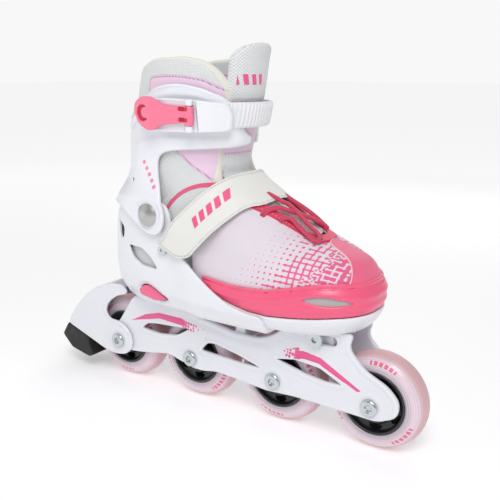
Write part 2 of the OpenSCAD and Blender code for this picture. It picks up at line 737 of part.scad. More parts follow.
// ---------------------------------------------------------------- cuff
low_in = shell_out + 2;
high_in = 1.4;
CUFF = [[-118, 72], [-118, 82], [-110, 84], [-104, 98], [-104, 131], [-92, 133], [-77, 139], [-62, 149],
  [-45, 159], [-34, 161.5], [-23, 162], [-9, 159], [5, 152], [8, 140], [8, 118], [-4, 117.8], [-29, 116.5],
  [-40, 114.5], [-45, 109], [-45.5, 99], [-41, 83], [-36.5, 70], [-38, 60], [-44, 54.5], [-52, 54],
  [-61, 57.5], [-73, 64.5], [-83, 70.5], [-96, 72]];
CUFF_SLOT = [[-130, 96], [-130, 116], [-84, 113], [-82, 106], [-84, 99]];
module cuff() {
  color(plastic_white)
    difference() {
      intersection() {
        sleeve([[52, low_in, low_in + shell_t], [64, low_in, low_in + shell_t],
          [80, low_in, low_in + shell_t], [92, high_in + 1, high_in + shell_t + 1],
          [100, high_in, high_in + shell_t], [121, high_in, high_in + shell_t],
          [138, high_in, high_in + shell_t], [164, high_in, high_in + shell_t]]);
        boot_cut(CUFF);
      }
      boot_cut(CUFF_SLOT);
      cross_bar(pivot_x, pivot_z, -far, far, pivot_d / 2 + 0.1);
      cross_bar(rivet_p[0], rivet_p[2], 0, far, rivet_r + screw_play);
    }
}
cuff_y = seat_reach(pivot_x, pivot_h, low_in + shell_t, pivot_head_d / 2) + head_lift;
shell_y = side_reach(pivot_x, pivot_h, slip);
module cuff_rivets() {
  cap_h = 3;
  cap_r = (pow(pivot_head_d / 2, 2) + cap_h * cap_h) / (2 * cap_h);
  color("silver")
    both_sides()
      translate([pivot_x, -cuff_y, pivot_z])
        rotate([90, 0, 0])
          union() {
            translate([0, 0, shell_y - cuff_y])
              cylinder(h = cuff_y - shell_y, r = pivot_d / 2);
            intersection() {
              translate([0, 0, cap_h - cap_r])
                sphere(r = cap_r);
              cylinder(h = cap_h + 1, r = pivot_head_d / 2);
            }
          }
}
SHAFT = [[-52, 76], [-115, 84], [-115, 168], [-84, 171], [-67, 173.5], [-50, 178.5], [-23, 180], [-7, 176],
  [1, 170], [7, 159], [9, 150], [6, 130], [2, 112], [2, 104]];
tongue_half = throat_w / 2 + 9;
module liner_shaft() {
  color(mesh_white)
    difference() {
      intersection() {
        sleeve([for (h = [72, 84, 95, 106, 121, 138, 160, 180]) [h, -liner_t, 0]]);
        boot_cut(SHAFT);
      }
      boot_cut([[-25, 90], [-25, 200], [60, 200], [60, 90]], -tongue_half - 0.5, tongue_half + 0.5);
    }
}
module tongue_shaft() {
  color(mesh_white)
    intersection() {
      sleeve([for (h = [100, 106, 121, 138, 160, 180, 189]) [h, -liner_t, h > 140 ? 0.5 : -0.5]]);
      boot_cut([[-24, 192], [-24, 107], [40, 107], [40, 192]], -tongue_half, tongue_half);
    }
}

// The buckle stands on the cuff's outer side. Its hinge pin is upright.
band_low = 129.5;
band_high = 152;
strap_in = high_in + shell_t + 0.4;
strap_out = strap_in + ladder_t;
band_in = strap_out + 2.2;
band_t = 2.4;
band_out = band_in + band_t;
lever_in = band_out + 0.4;
hinge_t = -63;
hinge_h = (band_low + band_high) / 2;
hinge_d = lever_in + lever_t / 2 + 0.4;
hinge_p = boot_point(hinge_h, hinge_t, hinge_d);
pin_play = 0.06;
module upright(p, z0, z1, r) {
  translate([p[0], p[1], z0])
    cylinder(h = z1 - z0, r = r);
}
function height_z(h) = base_z + h * sh;
knuckle_r = pin_d / 2 + 1.7;
module buckle_base() {
  color([0.9, 0.9, 0.9])
    difference() {
      union() {
        plate_on_boot(-97, -31, band_low, band_high, band_in, band_out, 14, 2);
        plate_on_boot(-97, -78, band_low + 1, band_high - 1, high_in + shell_t, band_in + 0.5, 5, 1);
        for (s = [0, 1])
          translate([0, 0, s ? height_z(band_high) - 4.5 : height_z(band_low)])
            intersection() {
              upright(hinge_p, 0, 4.5, knuckle_r + 0.4);
              cube([far, far, far], center = true);
            }
      }
      upright(hinge_p, height_z(band_low) - 1, height_z(band_high) + 1, pin_d / 2 + 0.02);
      upright(hinge_p, height_z(band_low) + 4.5, height_z(band_high) - 4.5, knuckle_r + 0.5);
    }
}
module buckle_lever() {
  color([0.94, 0.45, 0.58])
    difference() {
      union() {
        plate_on_boot(-103, hinge_t - 1.5, band_low + 5, band_high - 5, lever_in, lever_in + lever_t, 10, 2);
        plate_on_boot(-104, -90, band_low + 1, band_high + 1.5, lever_in + 0.3, lever_in + lever_t + 0.6, 5, 2);
        upright(hinge_p, height_z(band_low) + 4.8, height_z(band_high) - 4.8, knuckle_r);
      }
      upright(hinge_p, height_z(band_low), height_z(band_high), pin_d / 2 + pin_play);
    }
}
module buckle_pin() {
  color("silver")
    upright(hinge_p, height_z(band_low) + 0.6, height_z(band_high) - 0.6, pin_d / 2);
}
// The pawl hangs under the band and lifts off the ribs with the lever
pawl_p = boot_point(hinge_h, -45, strap_out + 1.1);
pawl_half = 3;
module buckle_pawl() {
  color("silver")
    union() {
      plate_on_boot(-50, -45, hinge_h - pawl_half, hinge_h + pawl_half, strap_out + 0.45, strap_out + 1.15, 3, 1);
      upright(pawl_p, height_z(hinge_h - pawl_half), height_z(hinge_h + pawl_half), 0.5);
    }
}
module ladder_strap() {
  low = band_low + 2.5;
  high = band_high - 2.5;
  color([0.93, 0.93, 0.93])
    difference() {
      union() {
        plate_on_boot(-58, 92, low, high, strap_in, strap_out - 0.8, 26, 2);
        for (t = [-56:ladder_pitch * 1.15:40])
          plate_on_boot(t, t + 2, low + 1, high - 1, strap_out - 1.2, strap_out, 1, 1);
      }
      cross_bar(rivet_p[0], rivet_p[2], rivet_p[1] - 9, rivet_p[1] + 3, rivet_r + screw_play);
    }
}
rivet_h = hinge_h;
rivet_r = 2;
rivet_p = boot_point(rivet_h, 86, strap_out - 0.8);
module ladder_rivet() {
  color("silver")
    union() {
      cross_bar(rivet_p[0], rivet_p[2], rivet_p[1] - 5, rivet_p[1] + 0.5, rivet_r);
      cross_bar(rivet_p[0], rivet_p[2], rivet_p[1] + 0.5, rivet_p[1] + 2, 4.2);
    }
}

chassis();
brake_arm();
brake_pad();
brake_pad_screw();
axle_screws();
axle_nuts();
bearing_inner_rings();
bearing_spacers();
tyre(0);  // wheel_1_tyre
hub(0);  // wheel_1_hub
outer_rings(0);  // wheel_1_outer_rings
balls(0);  // wheel_1_balls
tyre(1);  // wheel_2_tyre
hub(1);  // wheel_2_hub
outer_rings(1);  // wheel_2_outer_rings
balls(1);  // wheel_2_balls
tyre(2);  // wheel_3_tyre
hub(2);  // wheel_3_hub
outer_rings(2);  // wheel_3_outer_rings
balls(2);  // wheel_3_balls
tyre(3);  // wheel_4_tyre
hub(3);  // wheel_4_hub
outer_rings(3);  // wheel_4_outer_rings
balls(3);  // wheel_4_balls
heel_shell();
frame_screws();
size_button();
button_spring();
liner_foot();
insole();
tongue_instep();
instep_strap();
strap_screws();
toe_sole();
toe_slide_bolt();
toe_slide_nut();
bumper();
vent_mesh();
vamp();
toe_cap();
eyestay();
laces();
cuff();
cuff_rivets();
liner_shaft();
tongue_shaft();
buckle_base();
buckle_lever();
buckle_pin();
buckle_pawl();
ladder_strap();
ladder_rivet();
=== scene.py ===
"""A child's adjustable inline skate, right foot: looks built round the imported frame.

Lengths in this file are millimetres until a mesh is made; +X is the toe, -Y the buckle side, +Z up.
"""

from __future__ import annotations

import logging
import math
from collections.abc import Callable, Sequence
from dataclasses import dataclass
from enum import Enum

import bpy
import numpy as np
from mathutils import Matrix, Vector


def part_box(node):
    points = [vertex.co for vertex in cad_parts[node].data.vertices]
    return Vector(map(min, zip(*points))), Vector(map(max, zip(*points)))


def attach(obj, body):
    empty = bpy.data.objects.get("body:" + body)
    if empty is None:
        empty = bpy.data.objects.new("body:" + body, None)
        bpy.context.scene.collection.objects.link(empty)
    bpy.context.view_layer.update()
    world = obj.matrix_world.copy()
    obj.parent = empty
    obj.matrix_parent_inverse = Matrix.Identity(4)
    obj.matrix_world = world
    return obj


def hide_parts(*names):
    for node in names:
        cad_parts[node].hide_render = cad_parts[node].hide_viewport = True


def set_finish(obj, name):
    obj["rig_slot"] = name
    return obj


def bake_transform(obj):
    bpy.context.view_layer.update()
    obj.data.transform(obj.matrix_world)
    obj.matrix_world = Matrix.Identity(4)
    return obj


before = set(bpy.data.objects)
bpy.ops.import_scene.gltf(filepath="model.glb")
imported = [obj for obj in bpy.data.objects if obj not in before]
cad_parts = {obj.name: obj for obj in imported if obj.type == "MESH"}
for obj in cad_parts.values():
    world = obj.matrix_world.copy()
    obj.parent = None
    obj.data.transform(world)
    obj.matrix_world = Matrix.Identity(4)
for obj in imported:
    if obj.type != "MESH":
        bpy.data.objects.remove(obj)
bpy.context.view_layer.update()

logging.basicConfig(level=logging.INFO, format="%(message)s")
LOG = logging.getLogger("skate")

MM = 0.001
BOOT_Z = 84.0
Outline = Sequence[Sequence[float]]
Array = np.ndarray


def middle(node: str) -> tuple[float, ...]:
    """The middle of a frame node's box, in whole thousandths of a millimetre."""
    low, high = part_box(node)
    return tuple(round((a + b) / 2 / MM, 3) for a, b in zip(low, high))


AXLES = tuple(middle(f"wheel_{number}_hub")[0] for number in range(1, 5))
AXLE_Z = middle("wheel_1_hub")[2]


class Side(Enum):
    """Which side of the boot a part is on, as the sign of its Y."""

    BUCKLE = -1
    INNER = 1


# ---------------------------------------------------------------- shapes from distance fields


def ramp(value: Array, low: float, high: float) -> Array:
    """0 below low, 1 above high, smooth between."""
    t = np.clip((value - low) / (high - low), 0, 1)
    return t * t * (3 - 2 * t)


def both(a: Array, b: Array, radius: float = 0.0) -> Array:
    """Where a and b overlap, with the edge between them rounded to radius."""
    if radius <= 0:
        return np.maximum(a, b)
    over_a, over_b = np.maximum(a + radius, 0), np.maximum(b + radius, 0)
    return np.minimum(-radius, np.maximum(a, b)) + np.hypot(over_a, over_b)


def either(a: Array, b: Array, radius: float = 0.0) -> Array:
    """a and b joined, with the corner between them filled to radius."""
    return -both(-a, -b, radius)


def hill(distance: Array, width: float) -> Array:
    """1 on a line and falling away on both sides of it over width."""
    return np.exp(-((distance / width) ** 2))


def rounded(outline: Outline, radius: float, closed: bool = True) -> Array:
    """The outline with each corner turned by a curve.

    Args:
        outline: corner points.
        radius: how far from a corner its curve may start.
        closed: whether the last point joins the first.

    Returns:
        The points of the rounded line.
    """
    points = np.array(outline, float)
    count = len(points)
    turned = []
    for i in range(count):
        here = points[i]
        if not closed and i in (0, count - 1):
            turned.append(here)
            continue
        before, after = points[i - 1], points[(i + 1) % count]
        back, ahead = before - here, after - here
        cut_back = min(radius, 0.49 * np.hypot(*back)) / np.hypot(*back)
        cut_ahead = min(radius, 0.49 * np.hypot(*ahead)) / np.hypot(*ahead)
        start, end = here + back * cut_back, here + ahead * cut_ahead
        for t in np.linspace(0, 1, 6):
            turned.append((1 - t) ** 2 * start + 2 * t * (1 - t) * here + t * t * end)
    return np.array(turned)


def line_distance(x: Array, z: Array, line: Array, closed: bool = False) -> Array:
    """Distance from points to a line of straight pieces.

    Args:
        x, z: coordinates of the points, of one shape.
        line: the line's points.
        closed: whether the last point joins the first.

    Returns:
        The distance, never negative.
    """
    best = np.full(np.broadcast(x, z).shape, 1e9)
    count = len(line)
    for i in range(count if closed else count - 1):
        (ax, az), (bx, bz) = line[i], line[(i + 1) % count]
        ex, ez = bx - ax, bz - az
        length = ex * ex + ez * ez
        if length < 1e-12:
            continue
        t = np.clip(((x - ax) * ex + (z - az) * ez) / length, 0, 1)
        best = np.minimum(best, (x - ax - t * ex) ** 2 + (z - az - t * ez) ** 2)
    return np.sqrt(best)


def outline_distance(x: Array, z: Array, outline: Outline, radius: float = 0.0) -> Array:
    """Signed distance to a closed outline, negative inside it.

    Args:
        x, z: coordinates of the points, of one shape.
        outline: corner points.
        radius: how far from a corner its curve may start.

    Returns:
        The signed distance.
    """
    line = rounded(outline, radius) if radius > 0 else np.array(outline, float)
    x, z = np.broadcast_arrays(x, z)
    inside = np.zeros(x.shape, bool)
    for i in range(len(line)):
        (ax, az), (bx, bz) = line[i - 1], line[i]
        if az == bz:
            continue
        crosses = (az > z) != (bz > z)
        inside ^= crosses & (x < (bx - ax) * (z - az) / (bz - az) + ax)
    return np.where(inside, -1.0, 1.0) * line_distance(x, z, line, True)


class Volume:
    """A box of evenly spaced sample points, in millimetres."""

    def __init__(self, low: Sequence[float], high: Sequence[float], step: float) -> None:
        """Lays the points out from low to high, step apart."""
        self.low = np.array(low, float)
        self.step = step
        self.shape = tuple(int(math.ceil((b - a) / step)) + 1 for a, b in zip(low, high))
        axes = [a + step * np.arange(n) for a, n in zip(low, self.shape)]
        self.x = axes[0].reshape(-1, 1, 1)
        self.y = axes[1].reshape(1, -1, 1)
        self.z = axes[2].reshape(1, 1, -1)
        self.h = self.z - BOOT_Z

    @classmethod
    def round_node(cls, nodes: Sequence[str], step: float, margin: float = 2.0) -> Volume:
        """A volume that holds these frame nodes, with a margin."""
        corners = [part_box(node) for node in nodes]
        low = [min(c[0][k] for c in corners) / MM - margin for k in range(3)]
        high = [max(c[1][k] for c in corners) / MM + margin for k in range(3)]
        return cls(low, high, step)

    def outline(self, points: Outline, radius: float = 0.0, boot: bool = True) -> Array:
        """Signed distance to an outline drawn in the X-Z plane, in boot heights or in true heights."""
        return outline_distance(self.x, self.h if boot else self.z, points, radius)

    def line(self, points: Outline, radius: float = 0.0, boot: bool = True) -> Array:
        """Distance to an open line drawn in the X-Z plane."""
        return line_distance(self.x, self.h if boot else self.z, rounded(points, radius or 0.01, False))

    def plan(self, points: Outline, radius: float = 0.0) -> Array:
        """Signed distance to an outline drawn from above, in the X-Y plane."""
        return outline_distance(self.x, self.y, points, radius)

    def bar(self, x: float, z: float, radius: float) -> Array:
        """Signed distance to a round bar that runs along Y."""
        return np.hypot(self.x - x, self.z - z) - radius

    def block(self, low: Sequence[float], high: Sequence[float], radius: float = 1.0) -> Array:
        """Signed distance to a block with rounded edges."""
        total, inner = 0.0, -1e9
        for axis, a, b in zip((self.x, self.y, self.z), low, high):
            reach = np.abs(axis - (a + b) / 2) - (b - a) / 2 + radius
            total = total + np.maximum(reach, 0) ** 2
            inner = np.maximum(inner, np.minimum(reach, 0))
        return np.sqrt(total) + inner - radius


def look_up(values: Array, places: Array) -> Array:
    """Values of a sampled field between its points, places being in steps from its first point."""
    limit = np.array(values.shape) - 1.001
    places = np.clip(places, 0, limit)
    cell = places.astype(int)
    part = places - cell
    total = 0.0
    for dx in (0, 1):
        for dy in (0, 1):
            for dz in (0, 1):
                weight = np.abs(1 - dx - part[:, 0]) * np.abs(1 - dy - part[:, 1])
                weight = weight * np.abs(1 - dz - part[:, 2])
                total = total + weight * values[cell[:, 0] + dx, cell[:, 1] + dy, cell[:, 2] + dz]
    return total


def net(values: Array) -> tuple[Array, Array]:
    """A net of four-sided faces on the zero level of a sampled field.

    Args:
        values: the field, negative inside.

    Returns:
        The points, in steps from the field's first point, and the faces.
    """
    inside = values < 0
    nx, ny, nz = (n - 1 for n in values.shape)
    count = np.zeros((nx, ny, nz), np.int8)
    corners = [(i, j, k) for i in (0, 1) for j in (0, 1) for k in (0, 1)]
    for i, j, k in corners:
        count += inside[i : i + nx, j : j + ny, k : k + nz]
    cells = np.argwhere((count > 0) & (count < 8))
    index = np.full((nx, ny, nz), -1, np.int64)
    index[tuple(cells.T)] = np.arange(len(cells))
    total, found = np.zeros((len(cells), 3)), np.zeros(len(cells))
    for a in corners:
        for axis in range(3):
            if a[axis]:
                continue
            b = tuple(c + (n == axis) for n, c in enumerate(a))
            va = values[tuple((cells + a).T)]
            vb = values[tuple((cells + b).T)]
            crossed = (va < 0) != (vb < 0)
            t = np.where(crossed, va / np.where(crossed, va - vb, 1), 0)
            place = np.array(a) + t[:, None] * (np.array(b) - np.array(a))
            total += np.where(crossed[:, None], place, 0)
            found += crossed
    points = cells + total / found[:, None]
    faces = []
    for axis in range(3):
        u, v = (axis + 1) % 3, (axis + 2) % 3
        first = [slice(None)] * 3
        second = [slice(None)] * 3
        first[axis], second[axis] = slice(None, -1), slice(1, None)
        a, b = inside[tuple(first)], inside[tuple(second)]
        edges = np.argwhere(a != b)
        edges = edges[
            (edges[:, u] > 0) & (edges[:, v] > 0) & (
                edges[:, u] < values.shape[u] - 1
            ) & (edges[:, v] < values.shape[v] - 1)
        ]
        back_u, back_v = np.eye(3, dtype=int)[u], np.eye(3, dtype=int)[v]
        around = (edges, edges - back_u, edges - back_u - back_v, edges - back_v)
        quads = np.stack([index[tuple(e.T)] for e in around], 1)
        outward = a[tuple(edges.T)]
        faces.append(np.where(outward[:, None], quads, quads[:, ::-1]))
    return points, np.concatenate(faces)


def solid(
    name: str, volume: Volume, values: Array, marks: dict[str, Callable | Array] | None = None
) -> bpy.types.Object:
    """A smooth mesh on the zero level of a field.

    Args:
        name: the piece's name.
        volume: where the field was sampled.
        values: the field, negative inside.
        marks: named values kept on the points for the finish, as sampled fields or functions of x, y, z.

    Returns:
        The new object.
    """
    values = np.broadcast_to(values, volume.shape).astype(np.float64).copy()
    edge = volume.step * 0.5
    for axis in range(3):
        for end in (0, -1):
            rim = [slice(None)] * 3
            rim[axis] = end
            values[tuple(rim)] = np.maximum(values[tuple(rim)], edge)
    points, faces = net(values)
    slopes = np.gradient(values)
    for _ in range(2):
        slope = np.stack([look_up(g, points) for g in slopes], 1)
        size = np.maximum((slope**2).sum(1), 1e-9)
        move = np.clip(look_up(values, points) / size, -2, 2)
        points = points - np.clip(move[:, None] * slope, -0.4, 0.4)
    normals = np.stack([look_up(g, points) for g in slopes], 1)
    normals /= np.maximum(np.linalg.norm(normals, axis=1), 1e-9)[:, None]
    places = volume.low + volume.step * points
    obj = mesh_object(name, places, faces, normals)
    for mark, value in (marks or {}).items():
        if callable(value):
            kept = value(places[:, 0], places[:, 1], places[:, 2])
        else:
            kept = look_up(np.broadcast_to(value, volume.shape), points)
        keep_mark(obj, mark, kept)
    return obj


def mesh_object(
    name: str, places: Array, faces: Array | list, normals: Array | None = None
) -> bpy.types.Object:
    """A smooth-shaded mesh from points in millimetres."""
    mesh = bpy.data.meshes.new(name)
    mesh.from_pydata(np.asarray(places) * MM, [], faces.tolist() if isinstance(faces, np.ndarray) else faces)
    mesh.polygons.foreach_set("use_smooth", np.ones(len(mesh.polygons), bool))
    if normals is not None:
        mesh.normals_split_custom_set_from_vertices(normals.tolist())
    obj = bpy.data.objects.new(name, mesh)
    bpy.context.scene.collection.objects.link(obj)
    return obj


def keep_mark(obj: bpy.types.Object, mark: str, values: Array) -> None:
    """Keeps one number per point on the mesh, for its finish to read."""
    held = obj.data.attributes.new(mark, "FLOAT", "POINT")
    held.data.foreach_set("value", np.asarray(values, np.float32))


def skin(rings: int, sides: int, looped: bool = False, base: int = 0) -> list[tuple[int, ...]]:
    """Faces over rings of points, such as a tube's.

    Args:
        rings: how many rings there are.
        sides: how many points each ring has.
        looped: whether the last ring joins the first; if not, both ends are capped.
        base: the number of the first point.

    Returns:
        The faces, as point numbers.
    """
    faces: list[tuple[int, ...]] = []
    for i in range(rings if looped else rings - 1):
        here, ahead = base + i * sides, base + (i + 1) % rings * sides
        for j in range(sides):
            k = (j + 1) % sides
            faces.append((here + j, here + k, ahead + k, ahead + j))
    if not looped:
        faces.append(tuple(range(base, base + sides))[::-1])
        faces.append(tuple(range(base + (rings - 1) * sides, base + rings * sides)))
    return faces


def lathe(
    name: str, profile: Outline, turns: int = 96, wave: Callable | None = None, closed: bool = True
) -> bpy.types.Object:
    """A turned shape about the Y axis.

    Args:
        name: the piece's name.
        profile: (radius, y) points.
        turns: how many points there are round the axis.
        wave: a function of angle and profile index that scales the radius, for sockets and notches.
        closed: whether the profile's last point joins its first.

    Returns:
        The new object, about the origin.
    """
    shape = np.array(profile, float)
    angles = np.arange(turns) * 2 * math.pi / turns
    radius = np.repeat(shape[None, :, 0], turns, 0)
    if wave is not None:
        radius = radius * wave(angles[:, None], np.arange(len(shape))[None, :])
    x, z = radius * np.cos(angles)[:, None], radius * np.sin(angles)[:, None]
    y = np.repeat(shape[None, :, 1], turns, 0)
    places = np.stack([x, y, z], 2).reshape(-1, 3)
    faces = skin(turns, len(shape), True)
    if not closed:
        faces = [face for number, face in enumerate(faces) if (number + 1) % len(shape)]
    return mesh_object(name, places, faces)


def tube(
    name: str, path: Array, across: Array, radii: tuple[float, float], sides: int = 14
) -> bpy.types.Object:
    """A tube of oval section swept along a path.

    Args:
        name: the piece's name.
        path: points of the centre line.
        across: the direction of the oval's first radius at each point.
        radii: the oval's two radii.
        sides: points round the section.

    Returns:
        The new object, closed at both ends.
    """
    ahead = np.gradient(path, axis=0)
    ahead /= np.linalg.norm(ahead, axis=1)[:, None]
    third = np.cross(ahead, across)
    third /= np.linalg.norm(third, axis=1)[:, None]
    side = np.cross(third, ahead)
    angles = np.arange(sides) * 2 * math.pi / sides
    ring = radii[0] * np.cos(angles)[None, :, None] * side[:, None, :]
    ring = ring + radii[1] * np.sin(angles)[None, :, None] * third[:, None, :]
    places = (path[:, None, :] + ring).reshape(-1, 3)
    obj = mesh_object(name, places, skin(len(path), sides))
    run = np.concatenate([[0], np.cumsum(np.linalg.norm(np.diff(path, axis=0), axis=1))])
    keep_mark(obj, "run", np.repeat(run, sides))
    keep_mark(obj, "turn", np.tile(angles / (2 * math.pi), len(path)))
    return obj


def smooth_path(points: Array, per_span: int = 8) -> Array:
    """A curve through points, by Catmull-Rom spans."""
    padded = np.vstack([2 * points[0] - points[1], points, 2 * points[-1] - points[-2]])
    found = []
    for i in range(1, len(padded) - 2):
        a, b, c, d = padded[i - 1 : i + 3]
        for t in np.arange(per_span) / per_span:
            found.append(
                0.5 * (
                    2 * b + (c - a) * t + (2 * a - 5 * b + 4 * c - d) * t**2 + (3 * b - a - 3 * c + d) * t**3
                )
            )
    found.append(points[-1])
    return np.array(found)


def mirrored(half: Outline) -> Outline:
    """An outline seen from above, from its half on the buckle side."""
    return (*half, *((x, -y) for x, y in reversed(half) if y))


# ---------------------------------------------------------------- the boot's form

SECTIONS = np.array([
    [0, -104, 99, 35, 34, 3, 2.3],
    [8, -107.5, 105, 39, 34, 3, 2.4],
    [18, -109, 108, 40.5, 34, 3, 2.5],
    [30, -110, 108, 41, 32, 2.9, 2.5],
    [40, -110.5, 103.5, 41, 28, 2.8, 2.4],
    [48, -110.5, 95, 41, 20, 2.7, 2.3],
    [55, -110, 80, 40.5, 8, 2.6, 2.2],
    [64, -108, 60, 40, -10, 2.5, 2.1],
    [74, -102, 43, 39.5, -26, 2.4, 2],
    [84, -96, 27, 39, -36, 2.3, 2],
    [95, -91.5, 9, 39, -42, 2.2, 2],
    [106, -89.5, 1.5, 39, -44, 2.2, 2],
    [121, -89.5, 4.5, 39.5, -43, 2.1, 2],
    [138, -88, 9, 40, -41, 2.1, 2],
    [160, -84, 13, 40.5, -37, 2.1, 2],
    [180, -79, 16, 40.5, -33, 2.1, 2],
    [192, -77, 19, 40.5, -31, 2.1, 2],
])


class BootForm:
    """The foot-shaped surface that every boot part is offset from.

    Each level of it is a rounded oval: a back half and a front half that meet at the widest place.
    """

    def __init__(self) -> None:
        """Finds the slopes that join the levels smoothly."""
        self.heights = SECTIONS[:, 0]
        self.slopes = np.gradient(SECTIONS[:, 1:], self.heights, axis=0)

    def level(self, h: Array) -> list[Array]:
        """Back, front, half width, widest place and the two roundness powers at each height."""
        h = np.clip(np.asarray(h, float), self.heights[0], self.heights[-1])
        i = np.clip(np.searchsorted(self.heights, h, side="right") - 1, 0, len(self.heights) - 2)
        span = self.heights[i + 1] - self.heights[i]
        t = (h - self.heights[i]) / span
        found = []
        for k in range(6):
            a, b = SECTIONS[i, k + 1], SECTIONS[i + 1, k + 1]
            ma, mb = self.slopes[i, k] * span, self.slopes[i + 1, k] * span
            found.append(
                (
                    2 * t**3 - 3 * t**2 + 1
                ) * a + (t**3 - 2 * t**2 + t) * ma + (3 * t**2 - 2 * t**3) * b + (t**3 - t**2) * mb
            )
        return found

    def offset(self, volume: Volume) -> Array:
        """How far outside the boot's surface each point lies, measured level."""
        back, front, half, middle, rear_power, front_power = self.level(volume.h)
        dx = volume.x - middle
        reach = np.where(dx < 0, middle - back, front - middle)
        power = np.where(dx < 0, rear_power, front_power)
        y = np.abs(volume.y)
        grown = (np.abs(dx) / reach) ** power + (y / half) ** power
        shape = np.maximum(grown, 1e-6) ** (1 / power)
        floor = -0.8 * half
        d = np.maximum((shape - 1) * np.minimum(reach, half), floor)
        for _ in range(4):
            a = (np.abs(dx) / (reach + d)) ** power
            b = (y / (half + d)) ** power
            d = d + (a + b - 1) / np.maximum(power * (a / (reach + d) + b / (half + d)), 1e-4)
            d = np.maximum(d, floor)
        return d

    def steepness(self, d: Array, step: float) -> Array:
        """How fast the level offset changes with height, for turning it into true distance."""
        return np.sqrt(1 + np.clip(np.gradient(d, step, axis=2), -4, 4) ** 2)

    def point(self, h: float, t: float, d: float) -> Array:
        """The point at a height, at angle t in degrees round from the toe, d outside the surface."""
        back, front, half, middle, rear_power, front_power = (float(v) for v in self.level(np.array(h)))
        c, s = math.cos(math.radians(t)), math.sin(math.radians(t))
        reach = (front - middle) if c >= 0 else (middle - back)
        power = front_power if c >= 0 else rear_power
        x = middle + (reach + d) * math.copysign(abs(c) ** (2 / power), c)
        y = (half + d) * math.copysign(abs(s) ** (2 / power), s)
        return np.array([x, y, BOOT_Z + h])

    def lift(self, x: float, h: float, side: Side, d: float) -> Array:
        """The point straight out to the side from a place in the X-Z plane, d outside the surface."""
        back, front, half, middle, rear_power, front_power = (float(v) for v in self.level(np.array(h)))
        reach = (front - middle) if x >= middle else (middle - back)
        power = front_power if x >= middle else rear_power
        a = min(abs(x - middle) / (reach + d), 1.0)
        return np.array([x, side.value * (half + d) * (1 - a**power) ** (1 / power), BOOT_Z + h])

    def top(self, x: float, y: float, d: float) -> Array:
        """The point on the upper side above a place seen from above, d outside the surface."""
        h = np.linspace(30, 120, 721)
        back, front, half, middle, rear_power, front_power = self.level(h)
        reach = np.where(x >= middle, front - middle, middle - back)
        power = np.where(x >= middle, front_power, rear_power)
        inside = (np.abs(x - middle) / reach) ** power + (abs(y) / half) ** power < 1
        height = h[inside].max() if inside.any() else 30.0
        return np.array([x, y, BOOT_Z + height + d])


BOOT = BootForm()


def boot_room(step: float, *nodes: str, margin: float = 2.0) -> tuple[Volume, Array]:
    """A volume round some frame nodes, and how far outside the boot's surface its points lie."""
    volume = Volume.round_node(nodes, step, margin)
    return volume, BOOT.offset(volume)


def curve(h: Array, pairs: Outline) -> Array:
    """A value that changes with height, given at some heights."""
    table = np.array(pairs, float)
    return np.interp(h, table[:, 0], table[:, 1])


# ---------------------------------------------------------------- finishes


def paint(red: int, green: int, blue: int) -> tuple[float, float, float, float]:
    """A screen colour as the linear one that a shader takes."""
    linear = [c / 255 / 12.92 if c <= 10 else ((c / 255 + 0.055) / 1.055) ** 2.4 for c in (red, green, blue)]
    return (linear[0], linear[1], linear[2], 1.0)


class Wire:
    """A value in a node tree that can be added, multiplied and compared."""

    def __init__(self, graph: Graph, socket: bpy.types.NodeSocket) -> None:
        """Holds the socket and the graph it belongs to."""
        self.graph, self.socket = graph, socket

    def __add__(self, other: Wire | float) -> Wire:
        """The sum."""
        return self.graph.math("ADD", self, other)

    def __sub__(self, other: Wire | float) -> Wire:
        """The difference."""
        return self.graph.math("SUBTRACT", self, other)

    def __mul__(self, other: Wire | float) -> Wire:
        """The product."""
        return self.graph.math("MULTIPLY", self, other)

    def __truediv__(self, other: Wire | float) -> Wire:
        """The quotient."""
        return self.graph.math("DIVIDE", self, other)

    def __abs__(self) -> Wire:
        """The size without its sign."""
        return self.graph.math("ABSOLUTE", self)

    def __invert__(self) -> Wire:
        """One less the value: what a mask leaves out."""
        return self.graph.math("SUBTRACT", 1.0, self)


